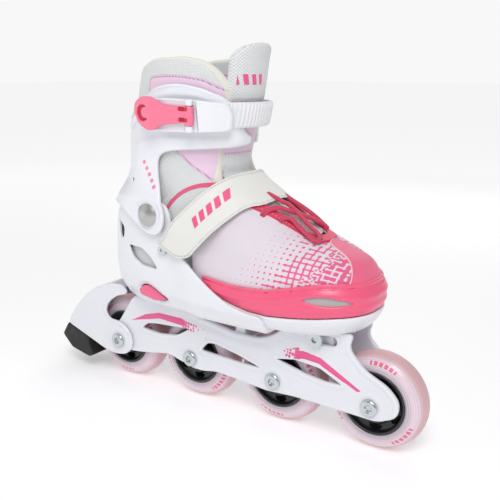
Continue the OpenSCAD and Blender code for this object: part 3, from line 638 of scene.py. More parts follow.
class Graph:
    """The nodes of one material or group."""

    def __init__(self, tree: bpy.types.NodeTree) -> None:
        """Starts from an empty tree."""
        self.tree = tree
        tree.nodes.clear()

    def feed(self, socket: bpy.types.NodeSocket, value: Wire | float | tuple) -> None:
        """Links a wire to a socket, or sets a plain number or colour on it."""
        if isinstance(value, Wire):
            self.tree.links.new(value.socket, socket)
        else:
            socket.default_value = value

    def node(self, kind: str, **settings: object) -> bpy.types.Node:
        """A new node with these settings."""
        made = self.tree.nodes.new(kind)
        for name, value in settings.items():
            setattr(made, name, value)
        return made

    def math(self, operation: str, *values: Wire | float) -> Wire:
        """One step of arithmetic."""
        made = self.node("ShaderNodeMath", operation=operation)
        for socket, value in zip(made.inputs, values):
            self.feed(socket, value)
        return Wire(self, made.outputs[0])

    def place(self) -> tuple[Wire, Wire, Wire]:
        """X, Y and Z on the piece itself, in millimetres."""
        where = self.node("ShaderNodeTexCoord")
        split = self.node("ShaderNodeSeparateXYZ")
        self.tree.links.new(where.outputs["Object"], split.inputs[0])
        return tuple(Wire(self, split.outputs[k]) * 1000.0 for k in range(3))

    def mark(self, name: str) -> Wire:
        """A number kept on the mesh's points."""
        made = self.node("ShaderNodeAttribute", attribute_name=name)
        return Wire(self, made.outputs["Fac"])

    def noise(self, size: float, detail: float = 2.0, stretch: tuple = (1.0, 1.0, 1.0)) -> Wire:
        """Soft noise from 0 to 1 with patches about size millimetres across."""
        where = self.node("ShaderNodeTexCoord")
        scale = self.node("ShaderNodeVectorMath", operation="MULTIPLY")
        self.tree.links.new(where.outputs["Object"], scale.inputs[0])
        scale.inputs[1].default_value = [1000.0 / (size * s) for s in stretch]
        made = self.node("ShaderNodeTexNoise")
        self.tree.links.new(scale.outputs[0], made.inputs["Vector"])
        made.inputs["Scale"].default_value = 1.0
        made.inputs["Detail"].default_value = detail
        return Wire(self, made.outputs[0])

    def random(self, u: Wire, v: Wire, seed: float = 0.0) -> Wire:
        """A fixed random number from 0 to 1 for each pair of whole numbers."""
        joined = self.node("ShaderNodeCombineXYZ")
        self.feed(joined.inputs[0], u)
        self.feed(joined.inputs[1], v)
        joined.inputs[2].default_value = seed
        made = self.node("ShaderNodeTexWhiteNoise", noise_dimensions="3D")
        self.tree.links.new(joined.outputs[0], made.inputs["Vector"])
        return Wire(self, made.outputs["Value"])

    def below(self, value: Wire, edge: Wire | float, soft: float = 0.15) -> Wire:
        """1 where value is under edge, 0 where it is over, with a soft border."""
        gap = self.math("SUBTRACT", edge, value)
        return self.ramp(gap, -soft, soft)

    def ramp(self, value: Wire, low: float, high: float) -> Wire:
        """0 under low, 1 over high, smooth between."""
        made = self.node("ShaderNodeMapRange", interpolation_type="SMOOTHSTEP")
        self.feed(made.inputs["Value"], value)
        made.inputs["From Min"].default_value = low
        made.inputs["From Max"].default_value = high
        return Wire(self, made.outputs["Result"])

    def mix(self, mask: Wire, first: Wire | tuple, second: Wire | tuple) -> Wire:
        """The first colour where mask is 0, the second where it is 1."""
        made = self.node("ShaderNodeMix", data_type="RGBA")
        self.feed(made.inputs[0], mask)
        self.feed(made.inputs[6], first)
        self.feed(made.inputs[7], second)
        return Wire(self, made.outputs[2])

    def use(self, name: str, **inputs: Wire | float) -> dict[str, Wire]:
        """One of the shared groups, with its outputs by name."""
        made = self.node("ShaderNodeGroup", node_tree=bpy.data.node_groups[name])
        for key, value in inputs.items():
            self.feed(made.inputs[key], value)
        return {s.name: Wire(self, s) for s in made.outputs}


def shared_group(name: str, inputs: dict[str, float], outputs: Sequence[str], build: Callable) -> None:
    """Makes a node group that several finishes share.

    Args:
        name: the group's name.
        inputs: its number inputs with their usual values.
        outputs: the names of its number outputs.
        build: takes the graph and the inputs as wires, and returns the outputs in order.
    """
    tree = bpy.data.node_groups.new(name, "ShaderNodeTree")
    for key, value in inputs.items():
        tree.interface.new_socket(
            name=key, in_out="INPUT", socket_type="NodeSocketFloat"
        ).default_value = value
    for key in outputs:
        tree.interface.new_socket(name=key, in_out="OUTPUT", socket_type="NodeSocketFloat")
    graph = Graph(tree)
    entry, leave = graph.node("NodeGroupInput"), graph.node("NodeGroupOutput")
    results = build(graph, *(Wire(graph, entry.outputs[key]) for key in inputs))
    for key, value in zip(outputs, results):
        graph.feed(leave.inputs[key], value)


def moulded_skin(graph: Graph) -> list[Wire]:
    """The fine grain, slow ripple and handling marks of moulded plastic."""
    grain = graph.noise(0.35, 2.0)
    ripple = graph.noise(9.0, 1.0)
    tone = graph.noise(26.0, 3.0)
    scuff = graph.ramp(graph.noise(1.2, 6.0, (6.0, 1.0, 1.0)), 0.62, 0.78)
    return [grain * 0.006 + ripple * 0.05, tone, scuff]


def edge_light_and_corner_shade(graph: Graph) -> list[Wire]:
    """Masks for a painted highlight where an edge stands proud, in patches, and for painted shade in hollow
    corners.
    """
    shape = graph.node("ShaderNodeNewGeometry")
    sharp = Wire(graph, shape.outputs["Pointiness"])
    patchy = graph.noise(4.0, 4.0)
    return [graph.ramp(sharp, 0.51, 0.6) * patchy, graph.ramp(sharp, 0.49, 0.4)]


def knit(graph: Graph, across: Wire, along: Wire, pitch: Wire) -> list[Wire]:
    """Diamond mesh cloth: crossing threads with a hole in each diamond."""
    first = abs(graph.math("SINE", (across + along) * 3.1416 / pitch))
    second = abs(graph.math("SINE", (across - along) * 3.1416 / pitch))
    thread = graph.math("MAXIMUM", first, second)
    hole = graph.ramp(first * second, 0.35, 0.75)
    return [~hole * 0.22 + thread * 0.03, hole]


def stitch_row(graph: Graph, distance: Wire, run: Wire, pitch: Wire) -> list[Wire]:
    """A row of stitches along a line: a mask for the thread and its height."""
    part = graph.math("FRACT", run / pitch)
    on = graph.below(abs(part - 0.5), 0.3, 0.05)
    near = graph.below(abs(distance), 0.38, 0.12)
    ditch = graph.below(abs(distance), 0.7, 0.5)
    return [on * near, on * near * 0.3 - ditch * 0.3]


def soft_cloth(graph: Graph) -> list[Wire]:
    """The slow unevenness of padded cloth and the fuzz of its threads."""
    slow = graph.noise(14.0, 2.0)
    fuzz = graph.noise(0.5, 3.0)
    return [slow * 0.5 + fuzz * 0.05, slow]


def make_groups() -> None:
    """Makes every shared node group once."""
    shared_group("Moulded skin", {}, ["Height", "Tone", "Scuff"], moulded_skin)
    shared_group("Painted edge light and corner shade", {}, ["Edge", "Corner shade"], edge_light_and_corner_shade)
    shared_group("Knit", {"Across": 0.0, "Along": 0.0, "Pitch": 1.6}, ["Height", "Hole"], knit)
    shared_group("Stitch row", {"Distance": 0.0, "Run": 0.0, "Pitch": 2.6}, ["Thread", "Height"], stitch_row)
    shared_group("Soft cloth", {}, ["Height", "Tone"], soft_cloth)


@dataclass(frozen=True)
class Look:
    """What a finish works out for its shader."""

    colour: Wire | tuple
    roughness: Wire | float
    height: Wire | None = None
    alpha: Wire | None = None
    glow: Wire | None = None


@dataclass(frozen=True)
class Finish:
    """A surface finish: its own numbers, and how it is worked out on a piece."""

    name: str
    colour: tuple
    roughness: float = 0.4
    metallic: float = 0.0
    coat: float = 0.0
    sheen: float = 0.0
    soft_light: float = 0.0

    def look(self, graph: Graph) -> Look:
        """Each kind of finish says how."""
        raise NotImplementedError

    def material(self) -> bpy.types.Material:
        """The finish as a material, made once."""
        found = bpy.data.materials.get(self.name)
        if found:
            return found
        made = bpy.data.materials.new(self.name)
        made.use_nodes = True
        graph = Graph(made.node_tree)
        shader = graph.node("ShaderNodeBsdfPrincipled")
        output = graph.node("ShaderNodeOutputMaterial")
        graph.tree.links.new(shader.outputs[0], output.inputs["Surface"])
        look = self.look(graph)
        graph.feed(shader.inputs["Base Color"], look.colour)
        graph.feed(shader.inputs["Roughness"], look.roughness)
        settings = {
            "Metallic": self.metallic,
            "Coat Weight": self.coat,
            "Coat Roughness": 0.15,
            "Sheen Weight": self.sheen,
            "Emission Color": self.colour,
            "Subsurface Weight": self.soft_light,
            "Subsurface Radius": (0.004, 0.002, 0.002),
            "Subsurface Scale": 1.0,
        }
        for key, value in settings.items():
            shader.inputs[key].default_value = value
        if look.glow is not None:
            graph.feed(shader.inputs["Emission Strength"], look.glow)
        if look.alpha is not None:
            graph.feed(shader.inputs["Alpha"], look.alpha)
        if look.height is not None:
            bump = graph.node("ShaderNodeBump")
            bump.inputs["Strength"].default_value = 1.0
            bump.inputs["Distance"].default_value = MM
            graph.feed(bump.inputs["Height"], look.height)
            graph.tree.links.new(bump.outputs[0], shader.inputs["Normal"])
        return made


@dataclass(frozen=True)
class Moulded(Finish):
    """Moulded plastic: grain, ripple, a painted highlight on proud edges, painted shade in hollow corners."""

    # the colour for random tone changes and for the painted shade in corners
    shade: tuple = (0.35, 0.33, 0.42, 1)
    scuffs: float = 0.25

    def look(self, graph: Graph) -> Look:
        """Colour, gloss and relief of the moulded skin."""
        skin = graph.use("Moulded skin")
        edge = graph.use("Painted edge light and corner shade")
        colour = graph.mix(skin["Tone"] * 0.05, self.colour, self.shade)
        # painted shade: hollow corners are darkened towards the shade colour
        colour = graph.mix(edge["Corner shade"] * 0.25, colour, self.shade)
        # painted highlight: proud edges are lightened towards white, in patches
        colour = graph.mix(edge["Edge"] * 0.12, colour, (1, 1, 1, 1))
        rough = skin["Tone"] * 0.1 + (self.roughness - 0.05) + skin["Scuff"] * self.scuffs * 0.4
        return self.decorate(graph, colour, rough, skin["Height"])

    def decorate(self, graph: Graph, colour: Wire, rough: Wire, height: Wire) -> Look:
        """Leaves the plastic plain; printed kinds add to it."""
        return Look(colour, rough, height)


@dataclass(frozen=True)
class Printed(Moulded):
    """Moulded plastic with a printed mark: its shape is the mesh's "print" distance."""

    ink: tuple = (1, 0, 0, 1)
    dots: bool = False

    def decorate(self, graph: Graph, colour: Wire, rough: Wire, height: Wire) -> Look:
        """Lays the ink where the print distance is below zero, breaking up into squares at its ends."""
        mask = graph.below(graph.mark("print"), 0.0, 0.12)
        if self.dots:
            x, _, z = graph.place()
            u, v = (x - z * 0.12) / 2.4, (z + x * 0.12) / 2.4
            cell_u, cell_v = graph.math("FLOOR", u), graph.math("FLOOR", v)
            near = graph.math("MAXIMUM", abs(graph.math("FRACT", u) - 0.5), abs(graph.math("FRACT", v) - 0.5))
            chance = graph.random(cell_u, cell_v)
            fade = graph.mark("fade")
            square = graph.below(near, fade * -0.36 + 0.5, 0.04) * graph.math(
                "GREATER_THAN", chance, fade * 0.92
            )
            zone = graph.below(graph.mark("zone"), 0.0, 0.05)
            mask = graph.math("MAXIMUM", mask, zone * square)
        return Look(graph.mix(mask, colour, self.ink), rough, height + mask * 0.03)


@dataclass(frozen=True)
class Recessed(Moulded):
    """Moulded plastic with painted shade in a sunk place: the mesh's "recess" is above zero there."""

    recess_shade: tuple = (0.3, 0, 0.02, 1)

    def decorate(self, graph: Graph, colour: Wire, rough: Wire, height: Wire) -> Look:
        """Paints shade into the sunk place."""
        mask = graph.ramp(graph.mark("recess"), 0.35, 0.65)
        # painted shade: the sunk crescent and slots are darkened towards the recess shade colour
        return Look(graph.mix(mask, colour, self.recess_shade), rough, height)


@dataclass(frozen=True)
class PipedSkin(Moulded):
    """Soft moulded skin with a light piped edge: the mesh's "edge" is the distance inside its outline."""

    piping: tuple = (1, 1, 1, 1)
    width: float = 0.8

    def decorate(self, graph: Graph, colour: Wire, rough: Wire, height: Wire) -> Look:
        """Lays the piping along the outline."""
        mask = graph.below(graph.mark("edge"), self.width, 0.12)
        return Look(graph.mix(mask, colour, self.piping), rough, height + mask * 0.15)


@dataclass(frozen=True)
class BootCloth(Finish):
    """Padded mesh cloth with smooth lilac panels, cream piping, seams and a pink trim."""

    panel: tuple = (1, 1, 1, 1)
    piping: tuple = (1, 1, 1, 1)
    trim: tuple = (1, 0, 0, 1)
    thread: tuple = (0.1, 0.1, 0.1, 1)
    pitch: float = 1.9

    def look(self, graph: Graph) -> Look:
        """Mesh outside the panels, smooth cloth in them, stitches along the panel edges."""
        across, along = graph.mark("across"), graph.mark("along")
        weave = graph.use("Knit", Across=across, Along=along, Pitch=self.pitch)
        cloth = graph.use("Soft cloth")
        edge = graph.mark("panel")
        panel = graph.below(edge, 0.0, 0.12)
        open_mesh = ~panel
        # painted shade: the weave's holes are darkened towards grey
        colour = graph.mix(weave["Hole"] * 0.42, self.colour, (0.42, 0.42, 0.46, 1))
        colour = graph.mix(panel, colour, self.panel)
        row = graph.use("Stitch row", Distance=edge + 1.3, Run=across + along, Pitch=2.4)
        colour = graph.mix(row["Thread"] * 0.75, colour, self.thread)
        piped = graph.below(graph.mark("edge"), 1.9, 0.15)
        colour = graph.mix(piped, colour, self.piping)
        trim = graph.below(graph.mark("trim"), 1.5, 0.15)
        colour = graph.mix(trim, colour, self.trim)
        colour = graph.mix(cloth["Tone"] * 0.12, colour, (0.5, 0.46, 0.55, 1))
        plain = open_mesh * ~piped
        height = weave["Height"] * plain + cloth["Height"] + row["Height"] + trim * 0.3
        return Look(colour, self.roughness, height)


@dataclass(frozen=True)
class PrintedMesh(Finish):
    """Fine mesh cloth with a pink print that grows from dots to a maze to a full ground."""

    ink: tuple = (1, 0, 0, 1)
    pitch: float = 4.3

    def look(self, graph: Graph) -> Look:
        """The weave, and the print by its cells."""
        across, along = graph.mark("across"), graph.mark("along")
        weave = graph.use("Knit", Across=across, Along=along, Pitch=1.15)
        cloth = graph.use("Soft cloth")
        u, v = across / self.pitch, along / self.pitch
        cell_u, cell_v = graph.math("FLOOR", u), graph.math("FLOOR", v)
        local_u, local_v = graph.math("FRACT", u) - 0.5, graph.math("FRACT", v) - 0.5
        off_u, off_v = abs(local_u), abs(local_v)
        strength = graph.mark("strength") + (graph.random(cell_u, cell_v, 3.0) - 0.5) * 0.16
        spread = graph.math("SQRT", local_u * local_u + local_v * local_v)
        dot_size = graph.math("MINIMUM", graph.math("MAXIMUM", strength * 0.5, 0.0), 0.27)
        shown = graph.math("GREATER_THAN", strength, 0.06)
        dot = graph.below(spread, dot_size, 0.05) * shown
        right = graph.math("GREATER_THAN", local_u, 0.0)
        up = graph.math("GREATER_THAN", local_v, 0.0)
        turn_u = graph.random(cell_u + right, cell_v, 7.0)
        turn_v = graph.random(cell_u, cell_v + up, 11.0)
        often = graph.ramp(graph.mark("strength"), 0.3, 0.62) * 0.62
        bar_u = graph.below(off_v, 0.14, 0.04) * graph.math("LESS_THAN", turn_u, often)
        bar_v = graph.below(off_u, 0.14, 0.04) * graph.math("LESS_THAN", turn_v, often)
        maze = graph.math("MAXIMUM", dot, graph.math("MAXIMUM", bar_u, bar_v))
        full = graph.math("GREATER_THAN", strength, 0.78)
        light = graph.math(
            "MAXIMUM", graph.below(spread, 0.24, 0.05),
            graph.math("MAXIMUM", bar_u, bar_v) * graph.math("LESS_THAN", strength, 1.02)
        )
        ground = ~light
        mask = maze * ~full + ground * full
        # painted shade: the weave's holes are darkened towards grey-mauve
        colour = graph.mix(weave["Hole"] * 0.3, self.colour, (0.5, 0.47, 0.56, 1))
        colour = graph.mix(mask, colour, self.ink)
        colour = graph.mix(cloth["Tone"] * 0.1, colour, (0.5, 0.42, 0.52, 1))
        return Look(colour, self.roughness, weave["Height"] * 0.5 + cloth["Height"] * 0.6 + mask * 0.03)


@dataclass(frozen=True)
class Webbing(Finish):
    """Coated strap with a pressed edge and generic slanted bars where a mark would be."""

    ink: tuple = (1, 0, 0, 1)

    def look(self, graph: Graph) -> Look:
        """Leather-like grain, the edge groove and the bars."""
        grain = graph.noise(0.9, 4.0)
        tone = graph.noise(18.0, 3.0)
        groove = graph.below(abs(graph.mark("edge") - 1.9), 0.35, 0.25)
        colour = graph.mix(tone * 0.12, self.colour, (0.45, 0.43, 0.4, 1))
        # painted shade: the pressed edge groove is darkened towards grey
        colour = graph.mix(groove * 0.18, colour, (0.3, 0.3, 0.3, 1))
        mask = graph.below(graph.mark("print"), 0.0, 0.15)
        return Look(
            graph.mix(mask, colour, self.ink), tone * 0.1 + self.roughness, grain * 0.05 - groove * 0.2
        )


@dataclass(frozen=True)
class Urethane(Finish):
    """Cast wheel rubber: fine rings on the sides, a dull tread and printed arcs of plain blocks."""

    tread: tuple = (1, 1, 1, 1)
    ink: tuple = (1, 0, 0, 1)

    def look(self, graph: Graph) -> Look:
        """Rings by radius, blocks by angle."""
        x, y, z = graph.place()
        radius = graph.math("SQRT", x * x + z * z)
        side = graph.ramp(abs(y), 5.0, 9.5)
        ring = graph.math("SINE", radius * 4.4) * 0.5 + 0.5
        # painted shade: the rubber darkens towards the hub
        shade = graph.ramp(radius, 23.0, 29.0)
        colour = graph.mix(shade, (0.42, 0.36, 0.42, 1), self.colour)
        colour = graph.mix(ring * 0.35 * side, colour, (0.95, 0.9, 0.95, 1))
        cloud = graph.noise(12.0, 3.0)
        tread = ~side
        colour = graph.mix(tread * 0.9, colour, self.tread)
        colour = graph.mix(cloud * 0.15, colour, (0.5, 0.3, 0.35, 1))
        turn = graph.math("ARCTAN2", z, x) * 57.2958 + 180.0
        third = graph.math("FRACT", turn / 120.0)
        block = graph.math("FRACT", turn / 7.5)
        within = graph.below(abs(third - 0.5), 0.16, 0.004)
        band = graph.below(abs(radius - 29.3), 1.3, 0.12)
        solid_block = graph.below(abs(block - 0.5), 0.33, 0.03)
        mask = within * band * solid_block * graph.math("GREATER_THAN", abs(y), 4.0)
        colour = graph.mix(mask * 0.85, colour, self.ink)
        worn = graph.noise(1.5, 4.0)
        rough = tread * 0.22 + worn * 0.08 + self.roughness
        return Look(colour, rough, ring * side * 0.05 + worn * 0.03)


@dataclass(frozen=True)
class Metal(Finish):
    """Plated or turned metal with fine brushed rings and tarnish."""

    def look(self, graph: Graph) -> Look:
        """Brushed gloss and a little dullness in places."""
        fine = graph.noise(0.25, 2.0, (1.0, 6.0, 1.0))
        dull = graph.noise(3.0, 4.0)
        colour = graph.mix(dull * 0.2, self.colour, (0.35, 0.36, 0.38, 1))
        return Look(colour, dull * 0.14 + (self.roughness - 0.05), fine * 0.012)


@dataclass(frozen=True)
class Rubber(Finish):
    """Dull black rubber with a pebbled skin."""

    def look(self, graph: Graph) -> Look:
        """Pebbling and pale dust."""
        pebble = graph.noise(0.8, 3.0)
        dust = graph.ramp(graph.noise(11.0, 5.0), 0.5, 0.8)
        return Look(
            graph.mix(dust * 0.12, self.colour, (0.3, 0.28, 0.27, 1)), dust * 0.1 + self.roughness,
            pebble * 0.07
        )


@dataclass(frozen=True)
class Paper(Finish):
    """Studio paper with a painted glow that grows with distance from the skate, in place of a lit backdrop.
    """

    def look(self, graph: Graph) -> Look:
        """Faint mottling, and the painted glow by distance from the skate."""
        x, y, _ = graph.place()
        far = graph.ramp(graph.math("SQRT", x * x + y * y), 250.0, 1500.0)
        mottle = graph.noise(30.0, 3.0)
        colour = graph.mix(mottle * 0.02, self.colour, (0.6, 0.6, 0.62, 1))
        # painted light: the floor glows, more so away from the skate
        return Look(colour, self.roughness, mottle * 0.05, glow=far * 0.34 + 0.3)


@dataclass(frozen=True)
class Braid(Finish):
    """Woven cord: two sets of threads that cross round it."""

    def look(self, graph: Graph) -> Look:
        """The braid from the run along the cord and the turn round it."""
        weave = graph.use("Knit", Across=graph.mark("run"), Along=graph.mark("turn") * 9.0, Pitch=1.5)
        tone = graph.noise(6.0)
        # painted shade: the gaps between the braid's strands are darkened
        colour = graph.mix(weave["Hole"] * 0.35, self.colour, (0.28, 0.01, 0.05, 1))
        return Look(graph.mix(tone * 0.15, colour, (0.3, 0.02, 0.06, 1)), self.roughness, weave["Height"])


@dataclass(frozen=True)
class Gauze(Finish):
    """Fine woven vent cloth."""

    pitch: float = 1.0

    def look(self, graph: Graph) -> Look:
        """A small diamond weave by position."""
        x, _, z = graph.place()
        weave = graph.use("Knit", Across=x, Along=z, Pitch=self.pitch)
        tone = graph.noise(10.0)
        # painted shade: the weave's holes are darkened nearly to black
        colour = graph.mix(weave["Hole"] * 0.6, self.colour, (0.12, 0.1, 0.11, 1))
        return Look(graph.mix(tone * 0.1, colour, (0.3, 0.25, 0.28, 1)), self.roughness, weave["Height"])


PINK_INK = paint(233, 88, 145)
MAUVE = (0.2, 0.16, 0.3, 1)
WHITE_SHELL = Moulded(
    "white_shell_finish", paint(234, 236, 241), 0.32, coat=0.25, soft_light=0.1, shade=MAUVE
)
WHITE_FRAME = Printed(
    "white_frame_finish", paint(232, 233, 239), 0.36, coat=0.15, soft_light=0.1, shade=MAUVE, ink=PINK_INK,
    dots=True
)
WHITE_CUFF = Printed(
    "white_cuff_finish", paint(234, 236, 242), 0.3, coat=0.3, soft_light=0.1, shade=MAUVE,
    ink=paint(240, 130, 160)
)
WHITE_ARM = Moulded("white_arm_finish", paint(232, 233, 239), 0.36, coat=0.15, soft_light=0.1, shade=MAUVE)
PINK_BUMPER = Moulded("pink_bumper_finish", paint(242, 92, 130), 0.34, coat=0.2, shade=(0.35, 0.02, 0.08, 1))
PINK_CAP = PipedSkin(
    "pink_cap_finish", paint(239, 104, 140), 0.45, sheen=0.15, shade=(0.35, 0.03, 0.1, 1),
    piping=paint(240, 205, 205)
)
PINK_EYESTAY = PipedSkin(
    "pink_eyestay_finish", paint(228, 62, 102), 0.5, sheen=0.15, shade=(0.35, 0.01, 0.05, 1),
    piping=paint(205, 40, 84), width=0.6
)
PINK_LEVER = Recessed(
    "pink_lever_finish", paint(243, 122, 152), 0.38, coat=0.2, shade=(0.45, 0.04, 0.1, 1),
    recess_shade=paint(200, 22, 62)
)
PINK_BUTTON = Moulded("pink_button_finish", paint(240, 105, 145), 0.4, coat=0.15, shade=(0.4, 0.03, 0.1, 1))
LADDER_WHITE = Moulded("ladder_finish", paint(232, 233, 236), 0.42, soft_light=0.15, shade=MAUVE)
LINER_CLOTH = BootCloth(
    "liner_cloth", paint(228, 231, 230), 0.8, sheen=0.3, panel=paint(232, 203, 224),
    piping=paint(226, 224, 213), trim=paint(232, 84, 124), thread=paint(150, 110, 140)
)
TONGUE_CLOTH = BootCloth(
    "tongue_cloth", paint(226, 229, 229), 0.75, sheen=0.3, panel=paint(229, 202, 222),
    piping=paint(226, 224, 213), trim=paint(233, 80, 135), thread=paint(170, 120, 150), pitch=2.2
)
VAMP_MESH = PrintedMesh("vamp_mesh", paint(236, 227, 235), 0.75, sheen=0.25, ink=paint(238, 92, 146))
STRAP_SKIN = Webbing("strap_skin", paint(230, 230, 226), 0.5, ink=paint(232, 88, 138))
WHEEL_URETHANE = Urethane(
    "wheel_urethane", paint(228, 206, 218), 0.22, coat=0.3, soft_light=0.25, tread=paint(214, 172, 174),
    ink=paint(228, 80, 130)
)
HUB_BLACK = Moulded("hub_black", paint(26, 27, 30), 0.34, coat=0.1, shade=(0.01, 0.01, 0.012, 1))
PAD_RUBBER = Rubber("pad_rubber", paint(15, 15, 16), 0.5)
ZINC = Metal("zinc_plate", paint(205, 212, 214), 0.22, 1.0)
RIVET_SATIN = Metal("rivet_satin", paint(190, 190, 188), 0.34, 1.0)
BEARING_STEEL = Metal("bearing_steel", paint(150, 152, 156), 0.25, 1.0)
LACE_BRAID = Braid("lace_braid", paint(226, 56, 98), 0.7, sheen=0.3)
VENT_GAUZE = Gauze("vent_gauze", paint(205, 200, 200), 0.6)
INSOLE_FOAM = Gauze("insole_foam", paint(214, 150, 175), 0.85, pitch=2.6)
THREAD_PALE = Rubber("thread_pale", paint(245, 190, 200), 0.8)
THREAD_GREY = Rubber("thread_grey", paint(190, 188, 184), 0.8)


def dress(obj: bpy.types.Object, finish: Finish, slot: str) -> bpy.types.Object:
    """Gives a piece one finish and names the record's slot for it."""
    obj.data.materials.clear()
    obj.data.materials.append(finish.material())
    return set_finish(obj, slot)


# ---------------------------------------------------------------- frame, brake and wheels


@dataclass
class ScrewHead:
    """A low round screw head with a six-sided socket, facing out along Y."""

    radius: float = 6.2
    depth: float = 2.8
    socket: float = 2.6

    def build(self, name: str, x: float, y: float, z: float, side: Side) -> bpy.types.Object:
        """One head, with its inner face at y and its axis through x, z."""
        r, d, s = self.radius, self.depth, self.socket
        profile = [
            (0.01, 0), (r - 0.3, 0), (r, 0.3), (r, d - 1.3), (r - 0.25, d - 0.7), (r - 0.8, d - 0.25),
            (r - 1.5, d - 0.02)
        ]
        profile += [
            (s + 1.3, d), (s + 0.35, d - 0.1), (s, d - 0.4), (s, d - 2.2), (s - 0.4, d - 2.4),
            (0.01, d - 2.5)
        ]
        socket = range(9, 12)

        def wave(angle: Array, index: Array) -> Array:
            """Six flats for the socket's points, a plain circle elsewhere."""
            flats = 0.93 / np.cos((angle + 0.2) % (math.pi / 3) - math.pi / 6)
            return np.where(np.isin(index, list(socket)), flats, 1.0)

        obj = lathe(name, [(p, side.value * q) for p, q in profile], 96, wave, closed=False)
        if side is Side.BUCKLE:
            obj.data.flip_normals()
        obj.data.transform(Matrix.Translation(Vector((x, y, z)) * MM))
        return dress(obj, ZINC, "zinc_steel")


@dataclass
class Frame:
    """The two-rail chassis with its deck, and the screws on its sides."""

    rail_in: float = 14.0
    rail_out: float = 18.0
    relief: float = 0.8
    rail: Outline = (
        (-121.5, 25.4), (-126.5, 33), (-122, 44), (-113.5, 51.2), (-96.5, 76.5), (-37, 76.5), (-33, 71.5),
        (-9, 67.5), (4, 65.1), (25.5, 65.5), (36, 69.5), (45, 76.5), (60, 83.5), (100.4, 83.5),
        (96.7, 73), (109, 60), (125.8, 52.3), (134.6, 43.2), (133.5, 32), (119.8, 25.5), (77, 26.8),
        (55, 27), (32, 25.6), (9, 27.7), (-13, 29.4), (-28.7, 26.4), (-51.6, 30.8), (-59, 33.5),
        (-91, 28),
    )
    windows: Sequence[Outline] = (
        ((39.7, 52.6), (56, 55.6), (75.6, 53.8), (93, 45.4), (80, 44.6), (64, 46.6)),
        ((-28, 43.8), (-22, 51), (-14, 52), (8, 47.5), (27, 42), (10, 42)),
        ((-88.6, 49.9), (-82, 55), (-73, 56.5), (-39.6, 58.6), (-52, 51), (-69.5, 48.5)),
    )
    rear_mark: Outline = (
        (-101.7, 53.5), (-84, 62.5), (-69.8, 66.5), (-46, 66.2), (-41, 61.5), (-47, 60.6), (-69, 61.6),
        (-84, 58.0),
    )
    front_mark: Outline = (
        (57, 62.6), (62, 64), (76, 61.8), (107.5, 44.6), (104.5, 43.4), (75, 57.2), (63, 58.2), (57, 57)
    )
    rear_dots: Outline = ((-48, 66.5), (-20, 61), (-22, 54), (-46, 59.5))
    front_dots: Outline = ((46, 61.5), (59, 66), (60, 57), (48, 56))
    slide: tuple[float, float] = (72.5, 75.3)
    travel: float = 12.0

    def build(self) -> None:
        """Builds the chassis and its screw heads."""
        volume = Volume((-129, -20, 23), (137, 20, 86), 0.78)
        y = np.abs(volume.y)
        edge = volume.outline(self.rail, 5.0, boot=False)
        windows = np.minimum.reduce([volume.outline(w, 2.5, boot=False) for w in self.windows])
        axles = np.minimum.reduce([volume.bar(x, AXLE_Z, 0) for x in AXLES])
        slide_line = line_distance(
            volume.x, volume.z, np.array([self.slide, (self.slide[0] + self.travel, self.slide[1])])
        )
        sunk = ramp(np.minimum(-edge, windows), 2.0, 4.4) * ramp(axles, 8.5, 11.0)
        sunk = np.where(volume.z > 69, sunk * 0.4, sunk)
        spine = volume.line([[-90, 66.5], [-40, 62], [0, 57.5], [34, 57]], 20, boot=False)
        sunk = sunk * (1 - 0.9 * hill(spine, 3.0))
        sunk = np.maximum(sunk, 1 - ramp(slide_line, 7.0, 8.0))
        rails = both(y - (self.rail_out - self.relief * sunk), self.rail_in - y, 0.6)
        rails = both(rails, edge, 1.3)
        rails = both(rails, -windows, 1.2)
        rails = both(rails, 3.4 - slide_line, 0.5)
        stubs = both(axles - 6.0, both(y - 15, 12.1 - y), 0.4)
        deck = volume.block((-96, -14.5, 72.5), (-40, 14.5, 76.5), 0.8)
        pillar = volume.block((2.5, -14.5, 60), (11.5, 14.5, 76.5), 1.0)
        brace = volume.block((70, -14.5, 62), (82, 14.5, 67), 1.0)
        body = either(rails, np.minimum(np.minimum(deck, pillar), brace), 1.2)
        body = both(np.minimum(body, stubs), 3.3 - axles)
        marks = {"print": self.print_distance, "zone": self.dot_zone, "fade": self.dot_fade}
        chassis = solid("chassis_shell", volume, body, marks)
        dress(chassis, WHITE_FRAME, "white_frame")
        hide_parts("chassis")
        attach(chassis, "boot")
        self.screws()

    def print_distance(self, x: Array, y: Array, z: Array) -> Array:
        """Distance to the printed chevrons, kept off the rails' inner faces."""
        near = np.minimum(
            outline_distance(x, z, self.rear_mark, 1.0), outline_distance(x, z, self.front_mark, 1.0)
        )
        return np.maximum(near, 17.0 - np.abs(y))

    def dot_zone(self, x: Array, y: Array, z: Array) -> Array:
        """Distance to the places where the print breaks into squares."""
        near = np.minimum(outline_distance(x, z, self.rear_dots), outline_distance(x, z, self.front_dots))
        return np.maximum(near, 17.0 - np.abs(y))

    def dot_fade(self, x: Array, y: Array, z: Array) -> Array:
        """How thin the squares are: 0 by the print, 1 at the far end."""
        return np.where(x < 0, np.clip((x + 48) / 28, 0.15, 1), np.clip((58 - x) / 12, 0, 1) * 0.5)

    def screws(self) -> None:
        """Heads on the buckle side and flanged nuts' outer caps stay as the frame's own parts."""
        head = ScrewHead()
        for number, x in enumerate(AXLES, 1):
            face = 20.85 if number == 1 else 18.05
            obj = head.build(f"axle_head_{number}", x, -face, AXLE_Z, Side.BUCKLE)
            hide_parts("axle_screws")
            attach(obj, "boot")
            shank = lathe(
                f"axle_shank_{number}", [(3.95, -face + 0.4), (3.95, face - 0.5), (0.01, face - 0.5)], 32,
                None, False
            )
            shank.data.transform(Matrix.Translation(Vector((x, 0, AXLE_Z)) * MM))
            dress(shank, ZINC, "zinc_steel")
            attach(shank, "boot")


